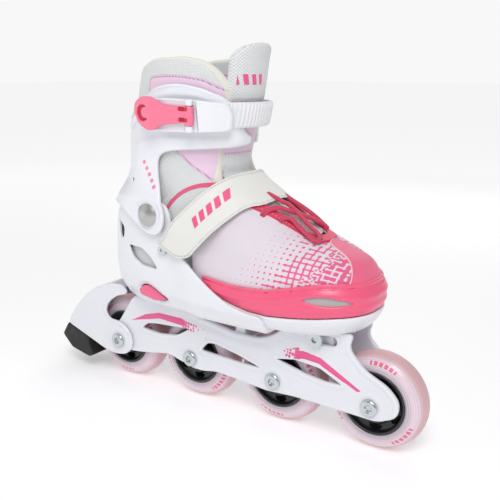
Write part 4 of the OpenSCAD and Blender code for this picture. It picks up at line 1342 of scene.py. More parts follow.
@dataclass
class Brake:
    """The heel brake: a white arm bolted over the rear axle, and its rubber pad."""

    cheek_in: float = 18.2
    cheek_out: float = 20.8
    wheel_room: float = 37.5
    arm: Outline = (
        (-105, 84.5), (-121, 83.5), (-137, 77), (-152, 66), (-164, 53), (-173, 38.7), (-127, 22.8),
        (-117, 21.5), (-105, 23.5), (-98, 30), (-97.5, 40), (-103, 47.5), (-112, 52), (-122, 52),
        (-126.5, 58), (-123, 66), (-113, 73.5), (-100, 77.5),
    )
    pad: Outline = ((-173.4, 38.4), (-181, 26.4), (-170, 15.5), (-149.2, 11.1), (-127.6, 22.7))

    def build(self) -> None:
        """Builds the arm and the pad."""
        volume = Volume.round_node(["brake_arm"], 0.8)
        y = np.abs(volume.y)
        edge = volume.outline(self.arm, 5.0, boot=False)
        axle = volume.bar(AXLES[0], AXLE_Z, 0)
        lip = ramp(-edge, 1.6, 3.4) * ramp(axle, 9, 12)
        outer = self.cheek_out - 0.7 * lip * ramp(volume.x, -150, -128)
        cheeks = both(y - outer, self.cheek_in - y, 0.5)
        block = both(y - outer, volume.x + 128, 0.3)
        block = np.maximum(np.maximum(block, self.wheel_room - axle), -volume.bar(-128, 50, 21))
        arm = both(np.minimum(cheeks, block), edge, 1.2)
        arm = both(arm, 3.9 - axle, 0.3)
        obj = solid("brake_arm_shell", volume, arm)
        dress(obj, WHITE_ARM, "white_frame")
        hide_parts("brake_arm")
        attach(obj, "boot")
        volume = Volume.round_node(["brake_pad"], 0.8)
        y = np.abs(volume.y)
        pad = both(volume.outline(self.pad, 2.0, boot=False), y - 20.3, 1.2)
        pad = both(pad, self.wheel_room - volume.bar(AXLES[0], AXLE_Z, 0), 0.8)
        obj = solid("brake_pad_block", volume, pad)
        dress(obj, PAD_RUBBER, "black_rubber")
        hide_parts("brake_pad")
        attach(obj, "boot")


@dataclass
class Wheels:
    """Four wheels: cast tyre, spoked hub, bearing shields."""

    tyre_mid: float = 23.5
    tyre_depth: float = 11.5
    half_width: float = 12.0
    hub_radius: float = 22.48
    spokes: int = 6

    def tyre(self) -> bpy.types.Object:
        """The tyre, about the origin, with fine rings raised on its sides."""
        profile = [(22.5, -11.2), (22.5, 11.2)]
        for a in np.linspace(math.pi / 2 * 0.985, -math.pi / 2 * 0.985, 110):
            r = self.tyre_mid + self.tyre_depth * math.cos(a)
            y = self.half_width * math.sin(a)
            groove = sum(0.22 * math.exp(-(((r - g) / 0.3) ** 2)) for g in (25.6, 27.0, 31.6, 32.7))
            profile.append(
                (r - groove * math.cos(a) * 0.4, y - groove * math.copysign(1, y) * abs(math.sin(a)))
            )
        return lathe("tyre_form", profile[::-1], 160)

    def hub(self) -> bpy.types.Object:
        """The hub, about the origin: rim, dished web with oval holes, and bearing boss."""
        volume = Volume((-24, -13, -24), (24, 13, 24), 0.62)
        radius = np.hypot(volume.x, volume.z)
        y = np.abs(volume.y)
        angle = np.arctan2(volume.z, volume.x)
        dish = 3.2 * ramp(radius, 13.2, 15.0) * (1 - ramp(radius, 19.4, 20.8))
        body = both(radius - self.hub_radius, y - (11.9 - dish), 0.5)
        body = both(body, 9.5 - radius, 0.3)
        bearing = both(radius - 11.02, 5.0 - y)
        body = both(body, -bearing, 0.2)
        sector = 2 * math.pi / self.spokes
        local = (angle + sector / 2 - math.radians(15)) % sector - sector / 2
        hole = np.hypot((radius - 17.2) / 2.2, local * 17.2 / 4.6) - 1
        body = both(body, -hole * 2.2, 0.5)
        return solid("hub_form", volume, body)

    def build(self) -> None:
        """Places the shared forms on the four axles."""
        tyre, hub = self.tyre(), self.hub()
        dress(tyre, WHEEL_URETHANE, "pink_urethane")
        dress(hub, HUB_BLACK, "black_hub")
        shield_shape = [(6.35, 11.0), (6.35, 11.45), (7.2, 11.6), (8.0, 11.6), (8.65, 11.45), (8.65, 11.0)]
        shield = lathe("shield_form", shield_shape + [(p, -q) for p, q in shield_shape[::-1]], 64)
        dress(shield, BEARING_STEEL, "bearing_steel")
        for number, x in enumerate(AXLES, 1):
            centre = Vector((x, 0, AXLE_Z)) * MM
            turn = Matrix.Rotation(math.radians(37 + 61 * number), 4, "Y")
            for form, part, node in (
                (tyre, "tyre_cast", "tyre"), (hub, "hub_spoked", "hub"), (shield, "bearing_shields", None)
            ):
                obj = bpy.data.objects.new(f"wheel_{number}_{part}", form.data)
                bpy.context.scene.collection.objects.link(obj)
                obj.matrix_world = Matrix.Translation(centre) @ turn
                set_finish(obj, form["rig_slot"])
                if node:
                    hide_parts(f"wheel_{number}_{node}")
                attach(obj, f"wheel_{number}")
        for form in (tyre, hub, shield):
            bpy.data.objects.remove(form)


# ---------------------------------------------------------------- the boot's hard parts


@dataclass
class HeelShell:
    """The white heel shell with its two openings, and the pocket for the size button."""

    outline: Outline = (
        (-130, 12), (-130, 78), (-60, 78.5), (-41, 78), (-36, 72), (-33, 58), (-27, 47), (-22, 41),
        (-8, 29), (6, 19.5), (18, 13), (32, 9.5), (44, 9), (44, -8), (-86, -8), (-92, -3.5), (-101, 3),
        (-112, 9),
    )
    slit: Outline = ((-100, 58.5), (-97.5, 43.5), (-91, 44.5), (-88.5, 52))
    leaf: Outline = ((-84, 40.5), (-78, 32), (-67, 27.5), (-49, 27), (-56, 35), (-66, 40.5))
    button: Outline = ((-70, 3.5), (-71.5, 7.5), (-67, 11), (-61, 12), (-54, 9.5), (-44, 3.5), (-55, 0.8))

    def build(self) -> None:
        """Builds the shell and the button."""
        volume, d = boot_room(0.95, "heel_shell")
        flare = 2.9 * ramp(volume.x, -36, -14)
        outer = curve(volume.h, [(-7.2, -7), (-5.4, -1.5), (-1, 3.1), (8, 3.8), (90, 3.8)]) + flare
        inner = curve(volume.h, [(-4, -1.2), (-0.5, 0.4), (8, 0.8), (90, 0.8)]) + flare
        outside = np.where(volume.y < 0, -1.0, 1.0)
        buckle_side = outside < 0
        button = volume.outline(self.button, 2.0)
        pocket = (1 - ramp(button, 1.2, 4.4)) * buckle_side
        ridge = hill(
            volume.line([[-104, 24], [-84, 18], [-62, 18.5], [-40, 12], [-16, 10], [10, 8]], 14), 3.4
        )
        collar = hill(volume.line([[-108, 69], [-80, 70], [-54, 71], [-40, 70]], 8), 2.4)
        outer = outer - 1.5 * pocket + 0.45 * ridge * (1 - pocket) + 0.35 * collar
        cavity = np.maximum(d - inner, 6.0 - volume.h)
        shell = both(d - outer, -cavity, 0.8)
        shell = both(shell, -7.2 - volume.h, 0.8)
        shell = both(shell, volume.outline(self.outline, 5.0), 1.1)
        for window in (self.slit, self.leaf):
            opening = np.where(buckle_side, volume.outline(window, 3.0), 9.0)
            shell = both(shell, -opening, 1.1)
        shell = both(shell, -np.where(buckle_side, button - 0.7, 9.0), 0.6)
        obj = solid("heel_shell_moulding", volume, shell)
        dress(obj, WHITE_SHELL, "white_shell")
        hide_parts("heel_shell")
        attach(obj, "boot")
        self.size_button()

    def size_button(self) -> None:
        """The pink leaf-shaped button, crowned, on its own spring."""
        volume = Volume.round_node(["size_button"], 0.45)
        low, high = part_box("size_button")
        face, back = low[1] / MM, high[1] / MM
        edge = volume.outline(self.button, 2.0)
        crown = 1.3 * ramp(edge, -4.5, 0.0)
        tab = both(edge, both(face + crown - volume.y, volume.y - (face + 3.6), 0.3), 0.6)
        stem = both(volume.bar(-60, 90.5, 1.6), both(face + 1 - volume.y, volume.y - back))
        obj = solid("size_button_cap", volume, np.minimum(tab, stem))
        dress(obj, PINK_BUTTON, "pink_button")
        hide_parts("size_button")
        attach(obj, "button")


@dataclass
class Cuff:
    """The hinged white cuff with its rolled rim and two soft ridges."""

    outline: Outline = (
        (-118, 72), (-118, 82), (-110, 84), (-104, 98), (-104, 131), (-92, 133), (-77, 139), (-62, 149),
        (-45, 159), (-34, 161.5), (-23, 162), (-9, 159), (5, 152), (8, 140), (8, 118), (-4, 117.8),
        (-29, 116.5), (-40, 114.5), (-45, 109), (-45.5, 99), (-41, 83), (-36.5, 70), (-38, 60),
        (-44, 54.5), (-52, 54), (-61, 57.5), (-73, 64.5), (-83, 70.5), (-96, 72),
    )
    slot: Outline = ((-130, 96), (-130, 116), (-84, 113), (-82, 106), (-84, 99))
    pivot: tuple[float, float] = (-52.0, 153.0)

    def build(self) -> None:
        """Builds the cuff and its domed rivets' rings."""
        volume, d = boot_room(0.95, "cuff")
        inner = curve(volume.h, [(52, 5.8), (80, 5.8), (92, 2.4), (100, 1.4), (170, 1.4)])
        edge = volume.outline(self.outline, 6.0)
        rim_line = [
            [-104, 126], [-92, 127.5], [-77, 133], [-62, 143], [-45, 153], [-23, 156], [-5, 152.5],
            [8, 146]
        ]
        rim = volume.line(rim_line, 10)
        sweep = volume.line([[-64, 118], [-44, 124.5], [-20, 123.5], [8, 122]], 10)
        pivot = np.hypot(volume.x - self.pivot[0], volume.z - self.pivot[1])
        lip = 1 - ramp(-edge, 0.6, 3.0)
        thick = 2.9 + 0.5 * hill(rim, 1.5) + 0.5 * hill(sweep, 3.0) + 0.35 * lip
        thick = thick - 0.5 * hill(volume.line(rim_line, 10) - 3.6, 1.2)
        thick = thick - 0.55 * ramp(pivot, 8.6, 9.4) * (1 - ramp(pivot, 10.6, 13.5))
        shell = both(d - inner - thick, inner - d, 0.9)
        edge = np.where(volume.y > 0, np.maximum(edge, volume.x + 8), edge)
        shell = both(shell, edge, 1.2)
        shell = both(shell, -volume.outline(self.slot, 4.0), 1.0)
        shell = both(shell, 3.2 - pivot, 0.2)
        dimple = np.hypot(volume.x + 73, volume.z - 176) - 1.5
        shell = both(shell, -np.where(volume.y < 0, dimple, 9.0), 0.4)
        marks = {"print": self.print_distance}
        obj = solid("cuff_moulding", volume, shell, marks)
        dress(obj, WHITE_CUFF, "white_shell")
        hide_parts("cuff")
        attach(obj, "cuff")

    def print_distance(self, x: Array, y: Array, z: Array) -> Array:
        """Distance to a plain row of slanted dashes down the arm, buckle side only."""
        along = (x + 52.5) * 0.53 - (z - 182) * 0.85
        across = (x + 52.5) * 0.85 + (z - 182) * 0.53
        dash = np.maximum(np.abs((along + 2.5) % 5.0 - 2.5) - 1.3, np.abs(across) - 1.7)
        return np.maximum(np.maximum(dash, np.abs(along) - 12.4), y + 20)


@dataclass
class Buckle:
    """The micro buckle: white cover band, pink lever, ribbed strap."""

    band: Outline = (
        (-47.5, 131), (-48.5, 141), (-46, 151.5), (-30, 152.3), (-10, 151.6), (8.8, 149.0), (10.2, 140),
        (8.4, 130.2), (-10, 129.7), (-30, 129.8),
    )
    lever: Outline = (
        (-55, 143.3), (-53.4, 149.5), (-47, 153.2), (-38.5, 153.4), (-34, 150.2), (-28, 148.3),
        (-19, 147.6), (-8.6, 147.4), (-8.4, 136.2), (-19, 135.9), (-28, 135), (-33.5, 133.4),
        (-37, 130.8), (-43, 130.6), (-51, 135.5),
    )
    ladder_pitch: float = 3.8
    hinge_h: float = 140.75

    def build(self) -> None:
        """Builds the band, the lever and the ladder strap."""
        self.cover_band()
        self.lever_arm()
        self.ladder()

    def hinge(self, volume: Volume) -> Array:
        """Distance from the upright line that the lever turns about."""
        x, y, _ = middle("buckle_pin")
        return np.hypot(volume.x - x, volume.y - y)

    def cover_band(self) -> None:
        """The white band that the lever sits on, with a raised rim, and its foot on the cuff."""
        volume, d = boot_room(0.6, "buckle_base", margin=3.0)
        edge = volume.outline(self.band, 3.0)
        rim = 0.5 * (1 - ramp(-edge, 0.8, 2.0))
        step_up = 3.0 * ramp(volume.x, -7.4, -6.6) * (1 - ramp(volume.x, -5, 9))
        plate = both(both(d - (11.3 + rim + step_up), 9.4 - d, 0.6), edge, 0.9)
        foot = both(
            both(d - 9.9, 4.5 - d, 0.3),
            volume.outline([[-47, 132], [-47, 150], [-30, 150], [-30, 132]], 3.0), 0.8
        )
        hinge = self.hinge(volume)
        ends = np.minimum(np.abs(volume.h - 132.0), np.abs(volume.h - 149.5)) - 2.1
        knuckles = both(hinge - 2.7, ends, 0.5)
        band = either(np.minimum(plate, foot), knuckles, 0.8)
        room = both(hinge - 3.7, np.abs(volume.h - self.hinge_h) - 6.7)
        band = both(band, -room, 0.4)
        band = both(band, 1.52 - hinge)
        obj = solid("buckle_cover_band", volume, np.where(volume.y < 0, band, 5.0))
        dress(obj, WHITE_SHELL, "white_shell")
        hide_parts("buckle_base")
        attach(obj, "cuff")

    def lever_arm(self) -> None:
        """The pink lever: rounded thumb end with a sunk crescent, and two slotted knuckles."""
        volume, d = boot_room(0.42, "buckle_lever", margin=2.5)
        edge = volume.outline(self.lever, 2.5)
        thumb = 1 - ramp(volume.x, -40, -33)
        bowl = volume.bar(-46.2, BOOT_Z + 142.2, 0)
        crescent = (1 - ramp(bowl, 5.0, 5.9)) * ramp(
            volume.bar(-43.4, BOOT_Z + 142.5, 0), 3.6, 4.4
        )
        slots = 0.0
        for h in (145.4, 138.2):
            across = np.maximum(np.abs(volume.x + 14.2) - 3.8, np.abs(volume.h - h) - 1.25)
            slots = np.maximum(slots, 1 - ramp(across, -0.3, 0.4))
        groove = hill(
            volume.line([[-33, 145.6], [-19, 144.8]], 2), 0.7
        ) + hill(volume.line([[-33, 138.2], [-19, 138.8]], 2), 0.7)
        recess = np.maximum(crescent, slots)
        top = 15.2 + 0.8 * thumb - 1.7 * recess - 0.25 * groove
        body = both(both(d - top, 12.3 - d, 0.5), edge, 0.9)
        hinge = self.hinge(volume)
        knuckle = both(hinge - 3.2, np.abs(volume.h - self.hinge_h) - 6.2, 0.5)
        body = either(body, knuckle, 0.6)
        body = np.maximum(body, np.minimum(volume.x + 11.3, hinge - 3.25))
        body = both(body, 1.62 - hinge)
        obj = solid(
            "buckle_lever_arm", volume, np.where(volume.y < 0, body, 5.0),
            {"recess": recess * np.ones(volume.shape)}
        )
        dress(obj, PINK_LEVER, "pink_lever")
        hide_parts("buckle_lever")
        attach(obj, "lever")

    def ladder(self) -> None:
        """The white strap with cross ribs on its outer face and a rounded end."""
        low, high = 132.0, 149.5
        steps = np.array([0, 0.1, 0.16, 0.24, 0.4, 0.52, 0.6, 0.68, 0.8, 0.9])
        starts = np.arange(-58, 88, self.ladder_pitch)
        angles = np.concatenate(
            [
                (starts[:, None] + steps * self.ladder_pitch).ravel(),
                np.arange(starts[-1] + self.ladder_pitch, 92.2, 0.4)
            ]
        )
        places = []
        for t in angles:
            tail = math.sqrt(max(0.0, 1 - max(0.0, (t - 83.5) / 8.7) ** 2)) if t > 83.5 else 1.0
            half = (high - low) / 2 * max(tail, 0.05)
            middle = (high + low) / 2
            phase = ((t + 58) / self.ladder_pitch + 1e-6) % 1.0
            rib = 0.85 * float(
                ramp(np.array(0.3 - abs(phase - 0.38)), 0.0, 0.13)
            ) if -56 < t < 62 else 0.0
            ring = []
            for u, lift_up in ((-1, 0.25), (-0.985, 0.0), (-0.6, 0.0), (0.6, 0.0), (0.985, 0.0), (1, 0.25)):
                ring.append((middle + u * half, 4.8 + lift_up))
            for u, rise in (
                (1, -0.45), (0.985, -0.15), (0.9, 0.0), (0.8, rib), (0.45, rib), (-0.45, rib), (-0.8, rib),
                (-0.9, 0.0), (-0.985, -0.15), (-1, -0.45)
            ):
                ring.append((middle + u * half, 6.4 + rise))
            places += [BOOT.point(h, t, d) for h, d in ring]
        obj = mesh_object("ladder_strap_ribbed", np.array(places), skin(len(angles), len(ring)))
        dress(obj, LADDER_WHITE, "ladder_plastic")
        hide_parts("ladder_strap")
        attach(obj, "cuff")


# ---------------------------------------------------------------- soft parts


def round_the_leg(x: Array, y: Array, z: Array) -> Array:
    """Distance round the boot's shaft, for weaves."""
    return 44.0 * np.arctan2(y, x + 40.0)


@dataclass
class Liner:
    """The padded inner boot: quilted cloth wall with a rolled top, from sole to collar."""

    shaft: Outline = (
        (-52, 76), (-115, 84), (-115, 168), (-84, 171), (-67, 173.5), (-50, 178.5), (-23, 180), (-9, 177),
        (-2, 171), (3, 160), (3.8, 151), (3, 142), (-1.5, 128), (-4.5, 117), (-5.5, 105), (-5, 92),
    )
    foot: Outline = (
        (-130, 8), (-130, 84), (-60, 84), (-40, 88), (-5, 106), (1, 98), (4, 84), (-6, 66), (-14, 48),
        (-16, 8),
    )
    collar: Outline = (
        (-57, 140), (-54.5, 165.5), (-50, 167), (-36, 167.8), (-22, 167.2), (-9.5, 165), (2, 158.5),
        (20, 148), (20, 140),
    )
    window: Outline = ((-40, 124), (-31.7, 115), (-21.7, 104.5), (-9.5, 95.5), (0, 90), (20, 88), (20, 124))
    trim: Outline = (
        (-44, 66), (-41, 72), (-38.7, 76.5), (-33, 82), (-27.6, 86.5), (-17, 91.8), (-6, 93), (4, 92.5)
    )

    def build(self) -> None:
        """Builds the liner and quilts it."""
        volume, d = boot_room(1.0, "liner_shaft", "liner_foot")
        shaft = volume.outline(self.shaft, 6.0)
        foot = volume.outline(self.foot, 3.0)
        throat = np.maximum(np.abs(volume.y) - 21.0, -9.0 - volume.x)
        area = either(shaft, both(foot, -throat, 1.0), 3.0)
        seams = np.minimum(np.abs(volume.outline(self.collar, 3.0)), np.abs(volume.outline(self.window, 3.0)))
        puff = -0.75 * hill(seams + 1.3, 1.1) - 0.45 * hill(-shaft - 2.4, 0.7)
        puff = puff + 0.35 * hill(volume.line(self.trim, 6.0), 1.6)
        puff = puff - 0.5 * ramp(volume.h, 120, 60)
        puff = puff - 2.4 * (1 - ramp(volume.outline(ToeBox().vamp, 4.0), 0.5, 2.0))
        wall = both(d - puff + 0.1, -6.0 - d, 2.0)
        wall = both(wall, area, 2.6)
        wall = both(wall, 8.0 - volume.h, 1.0)
        button = volume.outline(HeelShell().button, 2.0)
        wall = np.maximum(wall, -np.maximum(button - 2.2, volume.y + 25))
        marks = {
            "across": round_the_leg,
            "along": lambda x, y, z: z,
            "panel": self.panel_distance,
            "edge": lambda x, y, z: line_distance(x, z - BOOT_Z, rounded(self.shaft[2:], 6.0, False)),
            "trim": lambda x, y, z: line_distance(x, z - BOOT_Z, rounded(self.trim, 6.0, False)),
        }
        obj = solid("liner_padded", volume, wall, marks)
        dress(obj, LINER_CLOTH, "liner_mesh")
        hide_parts("liner_foot", "liner_shaft")
        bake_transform(obj)

    def panel_distance(self, x: Array, y: Array, z: Array) -> Array:
        """Distance to the two smooth panels."""
        h = z - BOOT_Z
        return np.minimum(outline_distance(x, h, self.collar, 3.0), outline_distance(x, h, self.window, 3.0))


@dataclass
class Tongue:
    """The padded tongue, with a lilac band, quilted mesh and generic bars near its top."""

    half_width: float = 21.0
    low: float = 60.0
    high: float = 189.0
    band: tuple[float, float] = (112.5, 150.0)
    bar_h: float = 164.5
    bar_pitch: float = 6.6

    def build(self) -> None:
        """Builds the tongue."""
        volume, d = boot_room(0.8, "tongue_instep", "tongue_shaft")
        outer = curve(volume.h, [(60, -3.3), (100, -3.3), (106, -0.5), (140, -0.5), (146, 0.5), (190, 0.5)])
        half = curve(volume.h, [(60, 17.5), (100, 19), (110, 21), (190, 21)]) + 0 * volume.x
        top = self.high - 0.012 * volume.y**2 * ramp(volume.h, 150, 185)
        seams = np.minimum(np.abs(volume.h - self.band[0]), np.abs(volume.h - self.band[1]))
        quilt = -0.6 * hill(seams, 1.2) - 0.5 * hill(half - np.abs(volume.y) - 2.6, 0.8)
        crown = -1.0 * (np.abs(volume.y) / half) ** 2
        sheet = both(d - outer - quilt - crown, -6.0 - d, 1.6)
        area = both(np.abs(volume.y) - half, volume.h - top, 7.0)
        sheet = both(both(sheet, area, 2.0), np.maximum(self.low - volume.h, -30 - volume.x), 0.5)
        marks = {
            "across": round_the_leg,
            "along": lambda x, y, z: z,
            "panel": self.panel_distance,
            "edge": self.edge_distance,
            "trim": self.bars,
        }
        obj = solid("tongue_padded", volume, sheet, marks)
        dress(obj, TONGUE_CLOTH, "liner_mesh")
        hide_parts("tongue_instep", "tongue_shaft")
        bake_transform(obj)

    def panel_distance(self, x: Array, y: Array, z: Array) -> Array:
        """Distance to the lilac band across the tongue."""
        middle, half = sum(self.band) / 2, (self.band[1] - self.band[0]) / 2
        return np.abs(z - BOOT_Z - middle) - half

    def edge_distance(self, x: Array, y: Array, z: Array) -> Array:
        """Distance in from the tongue's piped side edges."""
        return self.half_width + 2.4 - np.abs(y)

    def bars(self, x: Array, y: Array, z: Array) -> Array:
        """Four plain slanted bars where a mark would be; the trim width rounds them."""
        h = z - BOOT_Z
        lean = y + (h - self.bar_h) * 0.25
        bar = np.abs((lean + 16.5) % self.bar_pitch - self.bar_pitch / 2) - 1.9
        return np.maximum(np.maximum(bar, np.abs(h - self.bar_h) - 3.6), np.abs(y + 8.6) - 10.4) + 1.5


@dataclass
class InstepStrap:
    """The off-white strap over the instep: two layers, pressed edge, stitches and generic bars."""

    outline: Outline = (
        (-46, 49.5), (-26, 40.5), (-14, 42), (22, 79.5), (33, 80.5), (36, 98), (6, 101.5), (-3, 95),
        (-31, 66), (-38, 53),
    )

    def rise(self, h: Array) -> Array:
        """How much nearer the boot the strap lies as it climbs."""
        return curve(h, [(38, 0), (60, 0), (70, -2), (82, -4.5), (104, -4.8)])

    def build(self) -> None:
        """Builds the strap and its stitches."""
        volume, d = boot_room(0.75, "instep_strap")
        d = d - self.rise(volume.h)
        edge = volume.outline(self.outline, 5.0)
        split = 0.7 * hill(edge, 0.8) * hill(d - 8.1, 0.35)
        groove = 0.35 * hill(-edge - 1.9, 0.6)
        strap = both(both(d - 9.2 + groove, 7.0 - d, 0.7), edge, 0.9) + split
        marks = {
            "edge": lambda x, y, z: -outline_distance(x, z - BOOT_Z, self.outline, 5.0),
            "print": self.bars,
        }
        obj = solid("instep_strap_skin", volume, strap, marks)
        dress(obj, STRAP_SKIN, "strap_web")
        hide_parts("instep_strap")
        self.lean(obj)
        self.lean(self.stitches())

    def lean(self, obj: bpy.types.Object) -> None:
        """Takes the piece off its parent and bakes its place into its mesh."""
        obj.parent = None
        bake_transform(obj)

    def stitches(self) -> bpy.types.Object:
        """Stitches inside the strap's edges, on both sides of the boot."""
        line = rounded(self.outline, 5.0)
        ahead = np.roll(line, -1, 0) - np.roll(line, 1, 0)
        ahead /= np.linalg.norm(ahead, axis=1)[:, None]
        inward = np.stack([-ahead[:, 1], ahead[:, 0]], 1)
        middle = line.mean(0)
        inward *= np.sign(((middle - line) * inward).sum(1))[:, None]
        track = line + 1.9 * inward
        rows = []
        for side in Side:
            for keep in (track[:, 1] < 79) & (track[:, 0] < 12), (track[:, 1] >= 79) & (track[:, 0] < 8):
                spots = track[keep]
                if len(spots) > 3:
                    rise = [float(self.rise(np.array(h))) for _, h in spots]
                    rows.append(np.array([BOOT.lift(x, h, side, 8.95 + r) for (x, h), r in zip(spots, rise)]))
        return Stitches(1.6, 2.8, 0.24).build("strap_stitches", rows, THREAD_GREY, "strap_web")

    def bars(self, x: Array, y: Array, z: Array) -> Array:
        """Five plain slanted bars along the strap on the buckle side."""
        along = (x + 1) * 0.66 + (z - 162) * 0.75
        across = (x + 1) * -0.75 + (z - 162) * 0.66
        bar = np.abs((along - across * 0.3 + 15) % 6.0 - 3.0) - 2.0
        return np.maximum(np.maximum(bar, np.abs(along) - 15), np.maximum(np.abs(across) - 3.6, y + 16))


@dataclass
class ToeBox:
    """The sliding toe half: white sole lip, pink bumper, vent, printed vamp, cap, eyestay and laces."""

    bumper: Outline = (
        (-8, 22), (6, 16.5), (19, 12.6), (32, 10), (46, 9.4), (71, 11.5), (92, 13.7), (130, 16),
        (130, 36), (104, 36.5), (86, 37), (64, 32.5), (44, 28), (18, 27), (-8, 30),
    )
    vent: Outline = ((71, 25), (80, 28), (88, 28.3), (96, 26.5), (104, 23.5), (92, 21.8), (80, 22.4))
    vamp: Outline = (
        (-19, 4.5), (-22, 44), (-10, 63), (10, 86), (22, 95), (40, 92), (72, 66), (130, 58), (130, 4.5)
    )
    cap: Outline = mirrored((
        (73, 0), (74, -6), (78, -8.8), (86, -9.8), (94, -13.5), (98.5, -20), (98, -25), (95, -31),
        (130, -42),
    ))
    eyestay: Outline = mirrored(
        ((8, -28), (20, -24.5), (37, -19), (55, -16), (67, -15.5), (72.5, -11), (74.5, 0))
    )
    opening: Outline = mirrored(
        ((-30, -19), (20, -17.5), (37, -13), (55, -10.8), (64, -9.4), (67, -5), (67.5, 0))
    )
    sole: Outline = (
        (-8, -3.4), (-8, 21.6), (6, 16.1), (19, 12.2), (32, 9.6), (46, 9), (71, 11.1), (92, 13.3),
        (130, 15.6), (130, -8), (47.5, -8), (46, -3.4),
    )
    strands: Sequence[Outline] = (
        (
            (25, -6, 170.5), (31, -6.5, 168.5), (36.5, -6, 166), (42, -3.4, 163), (50.6, -4.6, 157),
            (59.5, -7.2, 151.5), (68, -10, 147), (71.3, -13.5, 144.7), (69, -17, 144.2),
            (62.4, -16.6, 147.8), (54.7, -14.8, 152.6), (49, -13.6, 156), (44.5, -15.5, 156.6),
            (42, -18, 154),
        ),
        (
            (30.5, -22.5, 157), (32.5, -19.8, 160.8), (37, -14.5, 162.8), (42, -8.5, 160.8),
            (48, -1.5, 157.6), (54, 5, 154.2), (60, 10, 150.4), (63, 13.5, 146.5),
        ),
        ((27, 12, 167.5), (36, 10.5, 164), (45, 12, 159), (53, 14, 153.4), (58, 16, 148.5)),
    )

    def build(self) -> None:
        """Builds every part of the toe half."""
        self.sole_lip()
        self.pink_bumper()
        self.vent_cloth()
        self.printed_vamp()
        self.toe_cap()
        self.eyestay_frame()
        self.laces()

    def sole_lip(self) -> None:
        """The white sole under the toe, channelled for the rails."""
        volume, d = boot_room(0.95, "toe_sole")
        outer = curve(volume.h, [(-4.2, -8), (-3.2, -3), (-1, 1.0), (1.5, 2.7), (5, 3.2), (18, 3.2)])
        inner = curve(volume.h, [(3.4, -3.5), (7, -0.4), (8, 0.4), (18, 0.4)])
        cavity = np.maximum(d - inner, 3.4 - volume.h)
        lip = both(d - outer, -cavity, 0.7)
        lip = both(lip, volume.outline(self.sole, 2.0), 0.9)
        lip = both(lip, -3.6 - volume.h, 0.8)
        channel = np.maximum(np.abs(volume.y) - 19.0, volume.z - 83.8)
        lip = both(lip, -channel, 0.6)
        block = volume.block((61.5, -13.7, 70.3), (83.5, 13.7, 85.5), 1.0)
        obj = solid("toe_sole_lip", volume, np.minimum(lip, block))
        dress(obj, WHITE_SHELL, "white_shell")
        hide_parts("toe_sole")
        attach(obj, "toe")

    def pink_bumper(self) -> None:
        """The pink band round the toe, with a pressed groove, flowing ridges and the vent's lips."""
        volume, d = boot_room(0.75, "bumper")
        edge = volume.outline(self.bumper, 3.0)
        vent = volume.outline(self.vent, 4.0)
        groove = volume.line(
            [[-8, 27.2], [18, 24.4], [44, 25.3], [64, 29.8], [86, 34.2], [104, 33.6], [130, 33]], 12
        )
        upper = volume.line(
            [[2, 21], [30, 18], [52, 20.5], [70, 26.5], [88, 30.3], [104, 27.5], [130, 25]], 12
        )
        lower = volume.line([[28, 13.4], [52, 14.6], [74, 19.0], [92, 19.3], [130, 20.6]], 12)
        outer = 2.2 - 0.9 * hill(groove, 0.75) + 1.0 * hill(upper, 2.2) + 0.9 * hill(lower, 2.4)
        outer = outer + 0.25 * hill(vent, 1.8)
        dash = np.abs((volume.x + 3.0) % 9.0 - 4.5) - 1.1
        outer = outer - 0.45 * hill(groove, 0.5) * (1 - ramp(dash, -0.4, 0.2))
        band = both(both(d - outer, 0.3 - d, 0.5), edge, 1.1)
        band = both(band, -vent, 0.9)
        obj = solid("toe_bumper_moulding", volume, band)
        dress(obj, PINK_BUMPER, "pink_bumper")
        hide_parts("bumper")
        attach(obj, "toe")

    def vent_cloth(self) -> None:
        """The grey mesh behind the bumper's vents."""
        volume, d = boot_room(0.6, "vent_mesh")
        cloth = both(both(d - 1.5, 0.4 - d, 0.2), volume.outline(self.vent, 4.0) - 1.2, 0.3)
        obj = solid("vent_gauze_insert", volume, cloth)
        dress(obj, VENT_GAUZE, "vent_fabric")
        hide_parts("vent_mesh")
        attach(obj, "toe")

    def throat(self, volume: Volume) -> Array:
        """Signed distance to the opening that the tongue shows through."""
        return np.maximum(volume.plan(self.opening, 3.0), 50 - volume.h)

    def printed_vamp(self) -> None:
        """The mesh upper of the toe, printed by its own weave directions."""
        volume, d = boot_room(0.85, "vamp")
        true = d / BOOT.steepness(d, volume.step)
        skin = both(both(true + 0.1, -2.3 - true, 0.4), volume.outline(self.vamp, 4.0), 0.8)
        skin = both(skin, -self.throat(volume), 0.8)
        marks = {
            "across": lambda x, y, z: x - 0.2 * z,
            "along": lambda x, y, z: z - 0.55 * np.abs(y),
            "strength": lambda x, y, z: (x - 12 - 0.8 * (z - 115)) / 74,
        }
        obj = solid("vamp_printed_mesh", volume, skin, marks)
        dress(obj, VAMP_MESH, "upper_print")
        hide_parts("vamp")
        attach(obj, "toe")

    def toe_cap(self) -> None:
        """The smooth pink cap over the toe, with a light piped edge."""
        volume = Volume((63, -36, 114), (114, 36, 150), 0.6)
        d = BOOT.offset(volume)
        true = d / BOOT.steepness(d, volume.step)
        edge = np.maximum(volume.plan(self.cap, 4.0), 33.5 - volume.h)
        swell = 0.3 * (1 - ramp(-edge, 0.4, 1.4))
        cap = both(both(true - 0.75 - swell, -0.8 - true, 0.3), edge, 0.7)
        marks = {"edge": lambda x, y, z: -outline_distance(x, y, self.cap, 4.0)}
        obj = solid("toe_cap_skin", volume, cap, marks)
        dress(obj, PINK_CAP, "toe_print")
        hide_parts("toe_cap")
        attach(obj, "toe")

